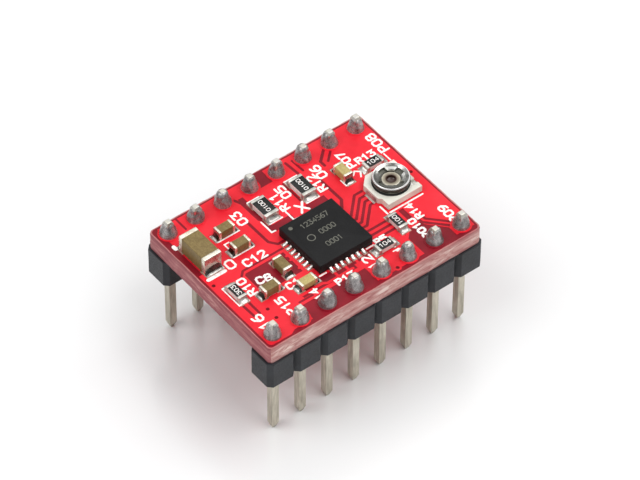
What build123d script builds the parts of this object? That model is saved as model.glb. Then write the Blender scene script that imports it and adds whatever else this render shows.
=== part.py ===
from build123d import *

import math
import os

# Stepper driver module: a small circuit board on two 8-pin headers, with a no-lead driver chip,
# chip resistors and capacitors, and an open-frame trimmer that sets the current limit.
# Millimetres. The origin is the centre of the pin pattern, in the plane of the pin tips.
# +X runs along the header rows, +Y across them, +Z out of the component side.

# Header rows and board
PITCH = 2.54
PINS_PER_ROW = 8
ROW_SPACING = 5 * PITCH
PIN_WIDTH = 0.64
PIN_LENGTH = 11.6
STRIP_TOP = 8.64
STRIP_HEIGHT = PITCH
STRIP_NOTCH = 0.36
BOARD_SIZE = (20.0, 14.9)
BOARD_THICKNESS = 1.6
BOARD_TOP = STRIP_TOP + BOARD_THICKNESS
BOARD_CORNER = 0.35
HOLE_DIAMETER = 1.1
PLATING = 0.03
RING_DIAMETER = 1.62
LAND_THICKNESS = 0.04
SEAT = BOARD_TOP + LAND_THICKNESS
SOLDER_CONE = (1.54, 0.86, 1.12)
VIA_DIAMETER = 0.3
VIA_STEP = 0.9
HEAT_AREA = (4.4, 4.4)

# Driver chip
CHIP_CENTRE = (-0.04, -1.35)
CHIP_SIDE = 5.0
CHIP_HEIGHT = 0.86
LEADS_PER_SIDE = 7
LEAD_PITCH = 0.5
LEAD = (0.5, 0.25, 0.2)
HEAT_PAD_SIDE = 3.15
DIE_SIDE = 2.6
DIE_HEIGHT = 0.25
BOND_WIDTH = 0.04
BOND_LOOP = 0.16
CHIP_LAND = (0.85, 0.28)
CHIP_TOE = 0.42

# Chip parts: centre X, centre Y, length, width, height, end cap length, direction of the length
CAPACITORS = {
    "bulk_capacitor": (-8.5, 2.92, 3.2, 1.6, 1.55, 0.5, "Y"),
    "charge_capacitor_1": (-5.6, 3.8, 1.5, 0.8, 0.8, 0.28, "X"),
    "charge_capacitor_2": (-5.6, 1.87, 1.5, 0.8, 0.8, 0.28, "X"),
    "regulator_capacitor": (-4.4, -1.7, 1.55, 0.8, 0.8, 0.28, "Y"),
    "reference_capacitor": (-6.5, -2.92, 1.5, 0.8, 0.8, 0.28, "X"),
    "filter_capacitor": (-3.9, -4.0, 1.5, 0.8, 0.6, 0.28, "X"),
    "logic_capacitor": (5.03, 3.0, 1.5, 0.8, 0.8, 0.28, "Y"),
}
RESISTORS = {
    "sense_resistor_1": (-1.85, 3.78, 2.0, 1.25, 0.55, 0.38, "Y"),
    "sense_resistor_2": (1.72, 3.78, 2.0, 1.25, 0.55, 0.38, "Y"),
    "timing_resistor": (-8.58, -1.6, 1.6, 0.8, 0.45, 0.3, "Y"),
    "pull_up_resistor": (2.95, -4.65, 1.6, 0.8, 0.45, 0.3, "X"),
    "divider_resistor": (5.18, -3.35, 1.6, 0.8, 0.45, 0.3, "Y"),
    "pull_down_resistor": (7.5, 2.5, 1.6, 0.8, 0.45, 0.3, "X"),
}
CAP_WALL = 0.02
OVERCOAT_THICKNESS = 0.03
LAND_TOE = 0.32
FILLET_HEIGHT_SHARE = 0.62
MAX_FILLET_HEIGHT = 0.62

# Trimmer: heights are above the board top
TRIMMER_CENTRE = (7.15, -0.12)
BASE_REACH = 1.62
BASE_NEAR = 1.76
BASE_FAR = 1.70
BASE_CHAMFER = 0.72
BASE_BULGE = 0.24
BASE_TOP = 0.62
TRACK_RADII = (0.80, 1.5)
TRACK_TOP = 0.70
TRACK_GAP_ANGLE = 35
WIPER_HEIGHTS = (0.78, 0.84)
WIPER_RADIUS = 1.42
WIPER_CONTACT_AT = 1.12
WIPER_CONTACT_RADIUS = 0.12
CONTACT_GAP = 0.01
ROTOR_RADIUS = 1.48
ROTOR_BORE_RADIUS = 0.79
ROTOR_TURN = 8
DISH_FLOOR = 1.14
RIM_BOTTOM = 1.02
RIM_TOP = 1.30
RIM_INNER_RADIUS = 1.2
RECESS_WIDTH = 0.68
RECESS_REACH = 1.14
EYELET_RADII = (0.36, 0.46)
EYELET_FLANGE_RADIUS = 0.74
EYELET_TOP = 0.96
RUNNING_CLEARANCE = 0.02
TURN_EACH_WAY = 125
STOP_RADII = (0.50, 0.76)
STOP_TOP = 0.74
TAB_HALF_ANGLE = 14
STOP_SLACK_ANGLE = 1
TERMINAL_THICKNESS = 0.1
TERMINAL_WIDTH = 0.45
TERMINAL_OFFSET = 1.0
TERMINAL_TOE = 0.2
TERMINAL_LUG_TOP = 0.42
POCKET_DEPTH_X = 0.42
WIPER_TERMINAL_WIDTH = 1.14
WIPER_TERMINAL_TOE = 0.12

FLAT = (Align.CENTER, Align.CENTER, Align.MIN)


def block(x0, x1, y0, y1, z0, z1):
    """Box between two corners."""
    return Pos(x0, y0, z0) * Box(x1 - x0, y1 - y0, z1 - z0, align=(Align.MIN, Align.MIN, Align.MIN))


def disc(radius, z0, z1, at=(0, 0)):
    """Upright cylinder from z0 to z1."""
    return Pos(at[0], at[1], z0) * Cylinder(radius, z1 - z0, align=FLAT)


def ring(inner, outer, z0, z1, at=(0, 0)):
    """Upright tube from z0 to z1."""
    return disc(outer, z0, z1, at) - disc(inner, z0, z1, at)


def group(solids):
    """Several separate solids kept in one node."""
    return Compound(children=list(solids))


def pin_places(row):
    """Pin centres of the front (-1) or rear (+1) row, from -X to +X."""
    first = -(PINS_PER_ROW - 1) / 2 * PITCH
    return [(first + PITCH * i, row * ROW_SPACING / 2) for i in range(PINS_PER_ROW)]


def all_pin_places():
    """Pin centres of both rows."""
    return pin_places(-1) + pin_places(1)


def via_places():
    """Heat vias on a square grid under the chip."""
    steps = (-VIA_STEP, 0, VIA_STEP)
    return [(CHIP_CENTRE[0] + dx, CHIP_CENTRE[1] + dy) for dx in steps for dy in steps]


# Board and headers


def circuit_board():
    """Laminate with rounded corners, pin holes and heat vias."""
    outline = RectangleRounded(BOARD_SIZE[0], BOARD_SIZE[1], BOARD_CORNER)
    board = Pos(0, 0, STRIP_TOP) * extrude(outline, BOARD_THICKNESS)
    pin_holes = [disc(HOLE_DIAMETER / 2, STRIP_TOP, BOARD_TOP, at) for at in all_pin_places()]
    vias = [disc(VIA_DIAMETER / 2, STRIP_TOP, BOARD_TOP, at) for at in via_places()]
    return board - pin_holes - vias


def plated_holes():
    """Copper barrel of each pin hole, with its ring on the component side."""
    bore = HOLE_DIAMETER / 2 - PLATING
    barrels = []
    for at in all_pin_places():
        barrel = disc(HOLE_DIAMETER / 2, STRIP_TOP, BOARD_TOP, at)
        flange = disc(RING_DIAMETER / 2, BOARD_TOP, SEAT, at)
        barrels.append(barrel + flange - disc(bore, STRIP_TOP, SEAT, at))
    return group(barrels)


def heat_area():
    """Bare copper area on the underside of the board, below the chip, open at each via."""
    length, width = HEAT_AREA
    area = Pos(CHIP_CENTRE[0], CHIP_CENTRE[1], STRIP_TOP - LAND_THICKNESS) * Box(
        length, width, LAND_THICKNESS, align=FLAT
    )
    vias = [disc(VIA_DIAMETER / 2, STRIP_TOP - LAND_THICKNESS, STRIP_TOP, at) for at in via_places()]
    return area - vias


def header_strip(row):
    """Moulded strip of eight segments with a notch between each pair, bored for its pins."""
    half = PITCH / 2
    side = []
    for x, _ in pin_places(row):
        side += [(x - half, half - STRIP_NOTCH), (x - half + STRIP_NOTCH, half)]
        side += [(x + half - STRIP_NOTCH, half), (x + half, half - STRIP_NOTCH)]
    outline = list(dict.fromkeys((round(x, 4), round(y, 4)) for x, y in side))
    outline += [(x, -y) for x, y in reversed(outline)]
    bottom = STRIP_TOP - STRIP_HEIGHT
    middle = row * ROW_SPACING / 2
    strip = Pos(0, middle, bottom) * extrude(make_face(Polyline(*outline, close=True)), STRIP_HEIGHT)
    bore = Box(PIN_WIDTH, PIN_WIDTH, STRIP_HEIGHT, align=FLAT)
    return strip - [Pos(x, y, bottom) * bore for x, y in pin_places(row)]


def header_pin(at):
    """Square pin with a tapered tip at each end."""
    tip, crown = 0.5, 0.22
    shank = Pos(at[0], at[1], tip) * Box(PIN_WIDTH, PIN_WIDTH, PIN_LENGTH - tip - crown, align=FLAT)
    square = Rectangle(PIN_WIDTH, PIN_WIDTH)
    foot = extrude(Plane((at[0], at[1], tip), z_dir=(0, 0, -1)) * square, tip, taper=18)
    head = extrude(Plane((at[0], at[1], PIN_LENGTH - crown)) * square, crown, taper=26)
    return shank + foot + head


def pin_solder(row):
    """Solder cone on each pin of a row, with the filling between pin and plated barrel."""
    base, neck, height = SOLDER_CONE
    joints = []
    for x, y in pin_places(row):
        cone = Pos(x, y, SEAT) * Cone(base / 2, neck / 2, height - LAND_THICKNESS, align=FLAT)
        filling = disc(HOLE_DIAMETER / 2 - PLATING, STRIP_TOP, SEAT, (x, y))
        pin = Pos(x, y, STRIP_TOP) * Box(PIN_WIDTH, PIN_WIDTH, PIN_LENGTH, align=FLAT)
        joints.append(cone + filling - pin)
    return group(joints)


# Driver chip


def on_chip_sides(make):
    """Solid from make(offset), which faces -X of the chip, copied to every lead place."""
    solids = []
    for side in range(4):
        for lead in range(LEADS_PER_SIDE):
            offset = (lead - (LEADS_PER_SIDE - 1) / 2) * LEAD_PITCH
            solids.append(Pos(*CHIP_CENTRE) * Rot(0, 0, 90 * side) * make(offset))
    return solids


def chip_leads():
    """Lead frame fingers, flush with the foot of the moulding."""
    length, width, height = LEAD
    edge = -CHIP_SIDE / 2

    def lead(offset):
        return block(edge, edge + length, offset - width / 2, offset + width / 2, SEAT, SEAT + height)

    return group(on_chip_sides(lead))


def chip_heat_pad():
    """Exposed pad that carries the die."""
    at = (CHIP_CENTRE[0], CHIP_CENTRE[1], SEAT)
    return Pos(*at) * Box(HEAT_PAD_SIDE, HEAT_PAD_SIDE, LEAD[2], align=FLAT)


def chip_die():
    """Silicon die on the heat pad."""
    at = (CHIP_CENTRE[0], CHIP_CENTRE[1], SEAT + LEAD[2])
    return Pos(*at) * Box(DIE_SIDE, DIE_SIDE, DIE_HEIGHT, align=FLAT)


def bond_wires():
    """Flat-sided wire from the die's edge over and down to each lead."""
    die_end = -DIE_SIDE / 2 + 0.1
    lead_end = -CHIP_SIDE / 2 + 0.7 * LEAD[0]
    inward = DIE_SIDE / 2 / (LEAD_PITCH * LEADS_PER_SIDE / 2) * 0.9

    def wire(offset):
        start = (die_end, offset * inward)
        end = (lead_end, offset)
        run = math.dist(start, end)
        loop = [
            (0, 0),
            (0, BOND_LOOP),
            (0.6 * run, BOND_LOOP),
            (run, BOND_WIDTH - DIE_HEIGHT),
            (run, -DIE_HEIGHT),
            (run - BOND_WIDTH, -DIE_HEIGHT),
            (0.6 * run - BOND_WIDTH, BOND_LOOP - BOND_WIDTH),
            (BOND_WIDTH, BOND_LOOP - BOND_WIDTH),
            (BOND_WIDTH, 0),
        ]
        heading = Vector(end[0] - start[0], end[1] - start[1], 0)
        across = Vector(0, 0, 1).cross(heading)
        plane = Plane((start[0], start[1], SEAT + LEAD[2] + DIE_HEIGHT), x_dir=heading, z_dir=-across)
        return extrude(plane * make_face(Polyline(*loop, close=True)), BOND_WIDTH / 2, both=True)

    return group(on_chip_sides(wire))


def chip_body(inner_nodes):
    """Moulding, with the lead frame, die and wires set into it."""
    at = (CHIP_CENTRE[0], CHIP_CENTRE[1], SEAT)
    body = Pos(*at) * Box(CHIP_SIDE, CHIP_SIDE, CHIP_HEIGHT, align=FLAT)
    for node in inner_nodes:
        body -= node.solids()
    return body


def chip_solder():
    """Small toe of solder in front of each lead."""
    edge = -CHIP_SIDE / 2
    height = LEAD[2]

    def toe(offset):
        side = Polyline((edge, 0), (edge - CHIP_TOE, 0), (edge, height), close=True)
        plane = Plane((0, offset, SEAT), x_dir=(1, 0, 0), z_dir=(0, -1, 0))
        return extrude(plane * make_face(side), LEAD[1] / 2, both=True)

    return group(on_chip_sides(toe))


# Chip resistors and capacitors


def place(part):
    """Location of a chip part on its lands, its length along local X."""
    x, y, turn = part[0], part[1], 90 if part[6] == "Y" else 0
    return Pos(x, y, SEAT) * Rot(0, 0, turn)


def chip_core(part):
    """Ceramic body of a chip part, inside its end caps by their wall."""
    _, _, length, width, height, _, _ = part
    wall = CAP_WALL
    core = Pos(0, 0, wall) * Box(length - 2 * wall, width - 2 * wall, height - 2 * wall, align=FLAT)
    return place(part) * core


def chip_caps(part):
    """Pair of plated end caps round the ends of a chip part."""
    _, _, length, width, height, cap, _ = part
    core = chip_core(part)
    pair = []
    for end in (-1, 1):
        sleeve = Pos(end * (length - cap) / 2, 0, 0) * Box(cap, width, height, align=FLAT)
        pair.append(place(part) * sleeve - core)
    return pair


def overcoat(part):
    """Dark glaze over the film of a resistor, between its end caps."""
    _, _, length, width, height, cap, _ = part
    top = height - CAP_WALL
    coat = Pos(0, 0, top) * Box(length - 2 * cap, width * 0.94, OVERCOAT_THICKNESS, align=FLAT)
    return place(part) * coat


def end_fillets(part):
    """Solder wedge at each end of a chip part."""
    _, _, length, width, height, _, _ = part
    rise = min(height * FILLET_HEIGHT_SHARE, MAX_FILLET_HEIGHT)
    pair = []
    for end in (-1, 1):
        foot = end * length / 2
        side = Polyline((foot, 0), (foot + end * LAND_TOE, 0), (foot, rise), close=True)
        plane = Plane((0, 0, 0), x_dir=(1, 0, 0), z_dir=(0, -1, 0))
        pair.append(place(part) * extrude(plane * make_face(side), width * 0.47, both=True))
    return pair


# Lands


def chip_part_lands(part):
    """Pair of copper lands under a chip part."""
    _, _, length, width, _, cap, _ = part
    long = cap + LAND_TOE
    pair = []
    for end in (-1, 1):
        middle = end * (length / 2 + LAND_TOE - long / 2)
        land = Pos(middle, 0, -LAND_THICKNESS) * Box(long, width, LAND_THICKNESS, align=FLAT)
        pair.append(place(part) * land)
    return pair


def component_lands():
    """Copper lands of every part on the component side."""
    length, width = CHIP_LAND
    outer = -CHIP_SIDE / 2 - CHIP_TOE

    def lead_land(offset):
        return block(outer, outer + length, offset - width / 2, offset + width / 2, BOARD_TOP, SEAT)

    lands = on_chip_sides(lead_land)
    pad = Pos(CHIP_CENTRE[0], CHIP_CENTRE[1], BOARD_TOP) * Box(
        HEAT_PAD_SIDE, HEAT_PAD_SIDE, LAND_THICKNESS, align=FLAT
    )
    lands.append(pad - [disc(VIA_DIAMETER / 2, BOARD_TOP, SEAT, at) for at in via_places()])
    for part in (*CAPACITORS.values(), *RESISTORS.values()):
        lands += chip_part_lands(part)
    lands += [on_trimmer(land) for land in trimmer_lands()]
    return group(lands)


# Trimmer, built about its own axis with Z from the board top


def on_trimmer(solid):
    """Moves a solid from the trimmer's own frame to its place on the board."""
    return Pos(TRIMMER_CENTRE[0], TRIMMER_CENTRE[1], BOARD_TOP) * solid


def sector(inner, outer, start_angle, end_angle, z0, z1):
    """Piece of a ring between two angles."""
    steps = [start_angle + (end_angle - start_angle) * i / 6 for i in range(7)]
    reach = outer * 1.3
    fan = [(0, 0)] + [(reach * math.cos(math.radians(a)), reach * math.sin(math.radians(a))) for a in steps]
    wedge = Pos(0, 0, z0) * extrude(make_face(Polyline(*fan, close=True)), z1 - z0)
    return ring(inner, outer, z0, z1) & wedge


def end_terminal(side):
    """Folded terminal at a track end: foot, riser, lug into the base and post up to the track."""
    y0 = side * TERMINAL_OFFSET - TERMINAL_WIDTH / 2
    y1 = y0 + TERMINAL_WIDTH
    foot_top = LAND_THICKNESS + TERMINAL_THICKNESS
    lug_bottom = TERMINAL_LUG_TOP - TERMINAL_THICKNESS
    post = BASE_REACH - POCKET_DEPTH_X - 0.2
    foot = block(BASE_REACH - 0.45, BASE_REACH + TERMINAL_TOE, y0, y1, LAND_THICKNESS, foot_top)
    riser = block(BASE_REACH - TERMINAL_THICKNESS, BASE_REACH, y0, y1, LAND_THICKNESS, TERMINAL_LUG_TOP)
    lug = block(post, BASE_REACH, y0, y1, lug_bottom, TERMINAL_LUG_TOP)
    return foot + riser + lug + block(post, post + 0.15, y0, y1, lug_bottom, BASE_TOP)


def terminal_pocket(side):
    """Open pocket in the base above the lug of an end terminal."""
    y0 = side * TERMINAL_OFFSET - TERMINAL_WIDTH / 2
    return block(BASE_REACH - POCKET_DEPTH_X, BASE_REACH, y0, y0 + TERMINAL_WIDTH, TERMINAL_LUG_TOP, BASE_TOP)


def wiper_terminal():
    """Foot, strip under the base and centre eyelet whose flange holds the rotor down."""
    half = WIPER_TERMINAL_WIDTH / 2
    bore, outer = EYELET_RADII
    foot_top = LAND_THICKNESS + TERMINAL_THICKNESS
    toe = -BASE_REACH - BASE_BULGE - WIPER_TERMINAL_TOE
    strip = block(toe, 0, -half, half, LAND_THICKNESS, foot_top)
    root = disc(half, LAND_THICKNESS, foot_top)
    tube = disc(outer, foot_top, EYELET_TOP)
    flange = disc(EYELET_FLANGE_RADIUS, WIPER_HEIGHTS[1] + RUNNING_CLEARANCE, EYELET_TOP)
    flange = fillet(flange.edges().group_by(Axis.Z)[-1], 0.06)
    return strip + root + tube + flange - disc(bore, foot_top, EYELET_TOP)


def stop_half_angle():
    """Half angle of the base's stop, which leaves the rotor its turn each way."""
    return 180 - TURN_EACH_WAY - TAB_HALF_ANGLE - STOP_SLACK_ANGLE


def trimmer_base(terminals):
    """Moulded base with one corner cut off, the terminals set into it and a stop by its centre."""
    left = -BASE_REACH - BASE_BULGE
    shoulder = -WIPER_TERMINAL_WIDTH / 2 - 0.15
    outline = [
        (-BASE_REACH, -BASE_NEAR),
        (BASE_REACH, -BASE_NEAR),
        (BASE_REACH, BASE_FAR),
        (left + BASE_CHAMFER, BASE_FAR),
        (left, BASE_FAR - BASE_CHAMFER),
        (left, shoulder),
        (-BASE_REACH, shoulder - BASE_BULGE),
    ]
    height = BASE_TOP - LAND_THICKNESS
    base = Pos(0, 0, LAND_THICKNESS) * extrude(make_face(Polyline(*outline, close=True)), height)
    half = stop_half_angle()
    base += sector(*STOP_RADII, -half, half, BASE_TOP, STOP_TOP)
    base -= disc(EYELET_RADII[1], LAND_THICKNESS, BASE_TOP)
    for side in (-1, 1):
        base -= terminal_pocket(side)
    for terminal in terminals:
        base -= terminal
    return base


def trimmer_track():
    """Resistive horseshoe on the base, open towards the end terminals."""
    return sector(*TRACK_RADII, TRACK_GAP_ANGLE, 360 - TRACK_GAP_ANGLE, BASE_TOP, TRACK_TOP)


def trimmer_wiper():
    """Thin wiper plate with its contact and its stop tab, turning with the rotor."""
    bottom, top = WIPER_HEIGHTS
    plate = disc(WIPER_RADIUS, bottom, top)
    contact = disc(WIPER_CONTACT_RADIUS, TRACK_TOP + CONTACT_GAP, bottom, (-WIPER_CONTACT_AT, 0))
    tab_angles = (180 - TAB_HALF_ANGLE, 180 + TAB_HALF_ANGLE)
    tab = sector(*STOP_RADII, *tab_angles, BASE_TOP + RUNNING_CLEARANCE, bottom)
    return plate + contact + tab - disc(EYELET_RADII[1] + RUNNING_CLEARANCE, 0, RIM_TOP)


def trimmer_rotor():
    """Stamped dish with a rolled rim, open at its centre and along the arms of its cross recess."""
    bottom = WIPER_HEIGHTS[1]
    hub = RIM_INNER_RADIUS + 0.04
    crest = (ROTOR_RADIUS + RIM_INNER_RADIUS) / 2 + 0.04
    section = [
        (ROTOR_BORE_RADIUS, bottom),
        (hub, bottom),
        (hub, RIM_BOTTOM - 0.02),
        (ROTOR_RADIUS - 0.05, RIM_BOTTOM - 0.02),
        (ROTOR_RADIUS, RIM_BOTTOM + 0.03),
        (ROTOR_RADIUS, RIM_TOP - 0.1),
        (ROTOR_RADIUS - 0.04, RIM_TOP - 0.02),
        (crest, RIM_TOP),
        (crest - 0.08, RIM_TOP - 0.03),
        (RIM_INNER_RADIUS, DISH_FLOOR),
        (ROTOR_BORE_RADIUS, DISH_FLOOR),
    ]
    dish = revolve(Plane.XZ * make_face(Polyline(*section, close=True)), Axis.Z)
    for turn in (ROTOR_TURN, ROTOR_TURN + 90):
        arm = Box(2 * RECESS_REACH, RECESS_WIDTH, DISH_FLOOR - bottom, align=FLAT)
        dish -= Rot(0, 0, turn) * Pos(0, 0, bottom) * arm
    return dish


def trimmer_lands():
    """Copper lands of the trimmer's three terminals."""
    half = WIPER_TERMINAL_WIDTH / 2
    left = -BASE_REACH - BASE_BULGE
    lands = [block(left - WIPER_TERMINAL_TOE - 0.1, left + 0.5, -half, half, 0, LAND_THICKNESS)]
    for side in (-1, 1):
        y0 = side * TERMINAL_OFFSET - TERMINAL_WIDTH / 2
        right = BASE_REACH + TERMINAL_TOE + 0.1
        lands.append(block(BASE_REACH - 0.45, right, y0, y0 + TERMINAL_WIDTH, 0, LAND_THICKNESS))
    return lands


def trimmer_solder():
    """Solder wedge on the toe of each terminal."""
    foot_top = LAND_THICKNESS + TERMINAL_THICKNESS
    rise = 0.3

    def wedge(face_x, out, y_middle, width):
        side = Polyline((face_x, 0), (face_x + out, 0), (face_x, rise), close=True)
        plane = Plane((0, y_middle, foot_top), x_dir=(1, 0, 0), z_dir=(0, -1, 0))
        return extrude(plane * make_face(side), width / 2, both=True)

    wedges = [wedge(-BASE_REACH - BASE_BULGE, -WIPER_TERMINAL_TOE, 0, WIPER_TERMINAL_WIDTH)]
    for side in (-1, 1):
        wedges.append(wedge(BASE_REACH, TERMINAL_TOE, side * TERMINAL_OFFSET, TERMINAL_WIDTH))
    return wedges


def build_nodes():
    """Every named node of the module."""
    nodes = {
        "circuit_board": circuit_board(),
        "plated_holes": plated_holes(),
        "component_lands": component_lands(),
        "underside_heat_area": heat_area(),
        "front_header_strip": header_strip(-1),
        "rear_header_strip": header_strip(1),
        "front_pin_solder": pin_solder(-1),
        "rear_pin_solder": pin_solder(1),
    }
    for row_name, row in (("front", -1), ("rear", 1)):
        for number, at in enumerate(pin_places(row), start=1):
            nodes[f"{row_name}_pin_{number}"] = header_pin(at)

    leads, pad, die, wires = chip_leads(), chip_heat_pad(), chip_die(), bond_wires()
    nodes["driver_chip_body"] = chip_body([leads, pad, die, wires])
    nodes["driver_chip_leads"] = leads
    nodes["driver_chip_heat_pad"] = pad
    nodes["driver_chip_die"] = die
    nodes["driver_chip_bond_wires"] = wires
    nodes["driver_chip_solder"] = chip_solder()

    for name, part in (CAPACITORS | RESISTORS).items():
        nodes[name] = chip_core(part)
    capacitors, resistors = CAPACITORS.values(), RESISTORS.values()
    nodes["capacitor_end_caps"] = group(cap for part in capacitors for cap in chip_caps(part))
    nodes["resistor_end_caps"] = group(cap for part in resistors for cap in chip_caps(part))
    nodes["resistor_overcoats"] = group(overcoat(part) for part in resistors)
    parts = (*capacitors, *resistors)
    nodes["chip_part_solder"] = group(wedge for part in parts for wedge in end_fillets(part))

    ends = [end_terminal(side) for side in (-1, 1)]
    wiper_side = wiper_terminal()
    nodes["trimmer_base"] = on_trimmer(trimmer_base([*ends, wiper_side]))
    nodes["trimmer_end_terminals"] = group(on_trimmer(end) for end in ends)
    nodes["trimmer_wiper_terminal"] = on_trimmer(wiper_side)
    nodes["trimmer_track"] = on_trimmer(trimmer_track())
    nodes["trimmer_wiper"] = on_trimmer(trimmer_wiper())
    nodes["trimmer_rotor"] = on_trimmer(trimmer_rotor())
    nodes["trimmer_solder"] = group(on_trimmer(wedge) for wedge in trimmer_solder())
    return nodes


os.makedirs("parts", exist_ok=True)
for node_name, shape in build_nodes().items():
    export_step(shape, f"parts/{node_name}.step")
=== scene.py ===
"""Stepper driver module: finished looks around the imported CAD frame.

Shapes are drawn in millimetres in the frame of the CAD model and scaled to metres when a piece is made.
Sizes and places come from the CAD nodes, or from the named values below.
"""

import math
import random

import bmesh
import bpy
from mathutils import Matrix, Vector, noise
from mathutils.geometry import delaunay_2d_cdt


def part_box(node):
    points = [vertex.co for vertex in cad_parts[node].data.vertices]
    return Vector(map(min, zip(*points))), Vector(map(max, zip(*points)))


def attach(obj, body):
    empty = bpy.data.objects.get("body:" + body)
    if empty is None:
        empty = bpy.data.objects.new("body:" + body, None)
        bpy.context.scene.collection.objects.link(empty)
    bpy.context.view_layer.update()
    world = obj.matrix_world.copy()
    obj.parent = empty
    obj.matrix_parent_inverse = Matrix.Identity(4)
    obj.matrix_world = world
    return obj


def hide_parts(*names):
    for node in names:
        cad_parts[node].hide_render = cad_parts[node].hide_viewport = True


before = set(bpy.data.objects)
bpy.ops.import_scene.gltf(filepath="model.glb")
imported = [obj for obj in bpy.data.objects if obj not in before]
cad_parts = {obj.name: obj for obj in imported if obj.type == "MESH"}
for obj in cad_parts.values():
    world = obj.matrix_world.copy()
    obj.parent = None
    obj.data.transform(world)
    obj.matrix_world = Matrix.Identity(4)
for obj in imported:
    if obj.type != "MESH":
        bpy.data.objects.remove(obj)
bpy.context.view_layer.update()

MM = 0.001
PINS = 8
WALL = 0.02
LEAD_PITCH = 0.5
LEADS_PER_SIDE = 7
LEAD_OFFSETS = [(i - (LEADS_PER_SIDE - 1) / 2) * LEAD_PITCH for i in range(LEADS_PER_SIDE)]


# ---------------------------------------------------------------- places taken from the frame


def node_box(name):
    """Lowest and highest corner of a CAD node, in millimetres."""
    low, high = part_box(name)
    return low / MM, high / MM


def node_middle(name):
    """Centre of a CAD node, in millimetres."""
    low, high = node_box(name)
    return (low + high) / 2


board_low, board_high = node_box("circuit_board")
TOP = board_high.z
BOTTOM = board_low.z
SEAT = node_box("component_lands")[1].z
chip_low, chip_high = node_box("driver_chip_body")
CHIP = (chip_low + chip_high) / 2
CHIP_HALF = (chip_high.x - chip_low.x) / 2
TRIMMER = node_middle("trimmer_rotor")
ROTOR_RADIUS = node_box("trimmer_rotor")[1].x - TRIMMER.x
PIN_PLACES = {row: [node_middle(f"{row}_pin_{i + 1}") for i in range(PINS)] for row in ("front", "rear")}
BARREL = (node_box("plated_holes")[1].y - PIN_PLACES["rear"][0].y)

CAPACITORS = (
    "bulk_capacitor",
    "charge_capacitor_1",
    "charge_capacitor_2",
    "regulator_capacitor",
    "reference_capacitor",
    "filter_capacitor",
    "logic_capacitor",
)
RESISTORS = (
    "sense_resistor_1",
    "sense_resistor_2",
    "timing_resistor",
    "pull_up_resistor",
    "divider_resistor",
    "pull_down_resistor",
)


class ChipPart:
    """Outside size and place of a two-ended chip part, found from its ceramic core."""

    def __init__(self, name):
        low, high = node_box(name)
        size = high - low
        self.centre = (low + high) / 2
        self.along_x = size.x > size.y
        self.length = max(size.x, size.y) + 2 * WALL
        self.width = min(size.x, size.y) + 2 * WALL
        self.height = size.z + 2 * WALL
        self.cap = self.length * (0.156 if self.length > 3 else 0.19)

    def place(self, along, across, up):
        """Point in the frame from a point in the part's own axes, its foot on the lands."""
        if self.along_x:
            return (self.centre.x + along, self.centre.y + across, SEAT + up)
        return (self.centre.x - across, self.centre.y + along, SEAT + up)


PARTS = {name: ChipPart(name) for name in CAPACITORS + RESISTORS}


# ---------------------------------------------------------------- mesh tools


class Sketch:
    """Mesh in millimetres that grows from lofts and plates, with a skin number for each face."""

    def __init__(self):
        self.points = []
        self.faces = []
        self.skins = []

    def add(self, points, faces, skin=0):
        """Takes in points and the faces between them."""
        start = len(self.points)
        self.points += [tuple(point) for point in points]
        self.faces += [[start + i for i in face] for face in faces]
        self.skins += [skin] * len(faces)

    def loft(self, rings, skin=0, hoop=False, ends=(True, True)):
        """Skin over rings of one size, with end faces; a hoop joins its last ring to its first instead."""
        count = len(rings[0])
        faces = []
        for r in range(len(rings) - (0 if hoop else 1)):
            low, high = r * count, (r + 1) % len(rings) * count
            for i in range(count):
                j = (i + 1) % count
                faces.append([low + i, low + j, high + j, high + i])
        if ends[0] and not hoop:
            faces.append(list(reversed(range(count))))
        if ends[1] and not hoop:
            faces.append([(len(rings) - 1) * count + i for i in range(count)])
        self.add([point for ring in rings for point in ring], faces, skin)

    def middle(self, face):
        """Centre of a face."""
        return sum((Vector(self.points[i]) for i in face), Vector()) / len(face)

    def build(self, name, materials):
        """New object in the scene with this mesh, in metres."""
        mesh = bpy.data.meshes.new(name)
        mesh.from_pydata([(x * MM, y * MM, z * MM) for x, y, z in self.points], [], self.faces)
        for material in materials:
            mesh.materials.append(material)
        mesh.polygons.foreach_set("material_index", self.skins)
        return add_object(name, mesh)


def add_object(name, data):
    """New object in the scene."""
    made = bpy.data.objects.new(name, data)
    bpy.context.scene.collection.objects.link(made)
    return made


def circle(x, y, radius, steps=24):
    """Points round a circle, anticlockwise."""
    turns = [2 * math.pi * i / steps for i in range(steps)]
    return [(x + radius * math.cos(a), y + radius * math.sin(a)) for a in turns]


def rectangle(x0, x1, y0, y1):
    """Corners of a rectangle, anticlockwise."""
    return [(x0, y0), (x1, y0), (x1, y1), (x0, y1)]


def rounded(half_x, half_y, radius, steps=4):
    """Rounded rectangle about the origin, anticlockwise from its right side."""
    radius = min(radius, half_x, half_y)
    points = []
    for quarter, (sx, sy) in enumerate(((1, 1), (-1, 1), (-1, -1), (1, -1))):
        for i in range(steps + 1):
            a = math.radians(90 * (quarter + i / steps))
            x = sx * (half_x - radius) + radius * math.cos(a)
            y = sy * (half_y - radius) + radius * math.sin(a)
            points.append((x, y))
    return points


def ribbon(points, width, steps=5):
    """Outline pieces of a track along points: one round-ended bar for each run."""
    bars = []
    for (x0, y0), (x1, y1) in zip(points, points[1:]):
        heading = math.atan2(y1 - y0, x1 - x0)
        bar = []
        for x, y, start in ((x1, y1, -90), (x0, y0, 90)):
            for i in range(steps + 1):
                a = heading + math.radians(start + 180 * i / steps)
                bar.append((x + width / 2 * math.cos(a), y + width / 2 * math.sin(a)))
        bars.append(bar)
    return bars


def anticlockwise(outline):
    """The same outline, turned round if it runs clockwise."""
    area = sum(a[0] * b[1] - b[0] * a[1] for a, b in zip(outline, outline[1:] + outline[:1]))
    return outline if area > 0 else outline[::-1]


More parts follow.
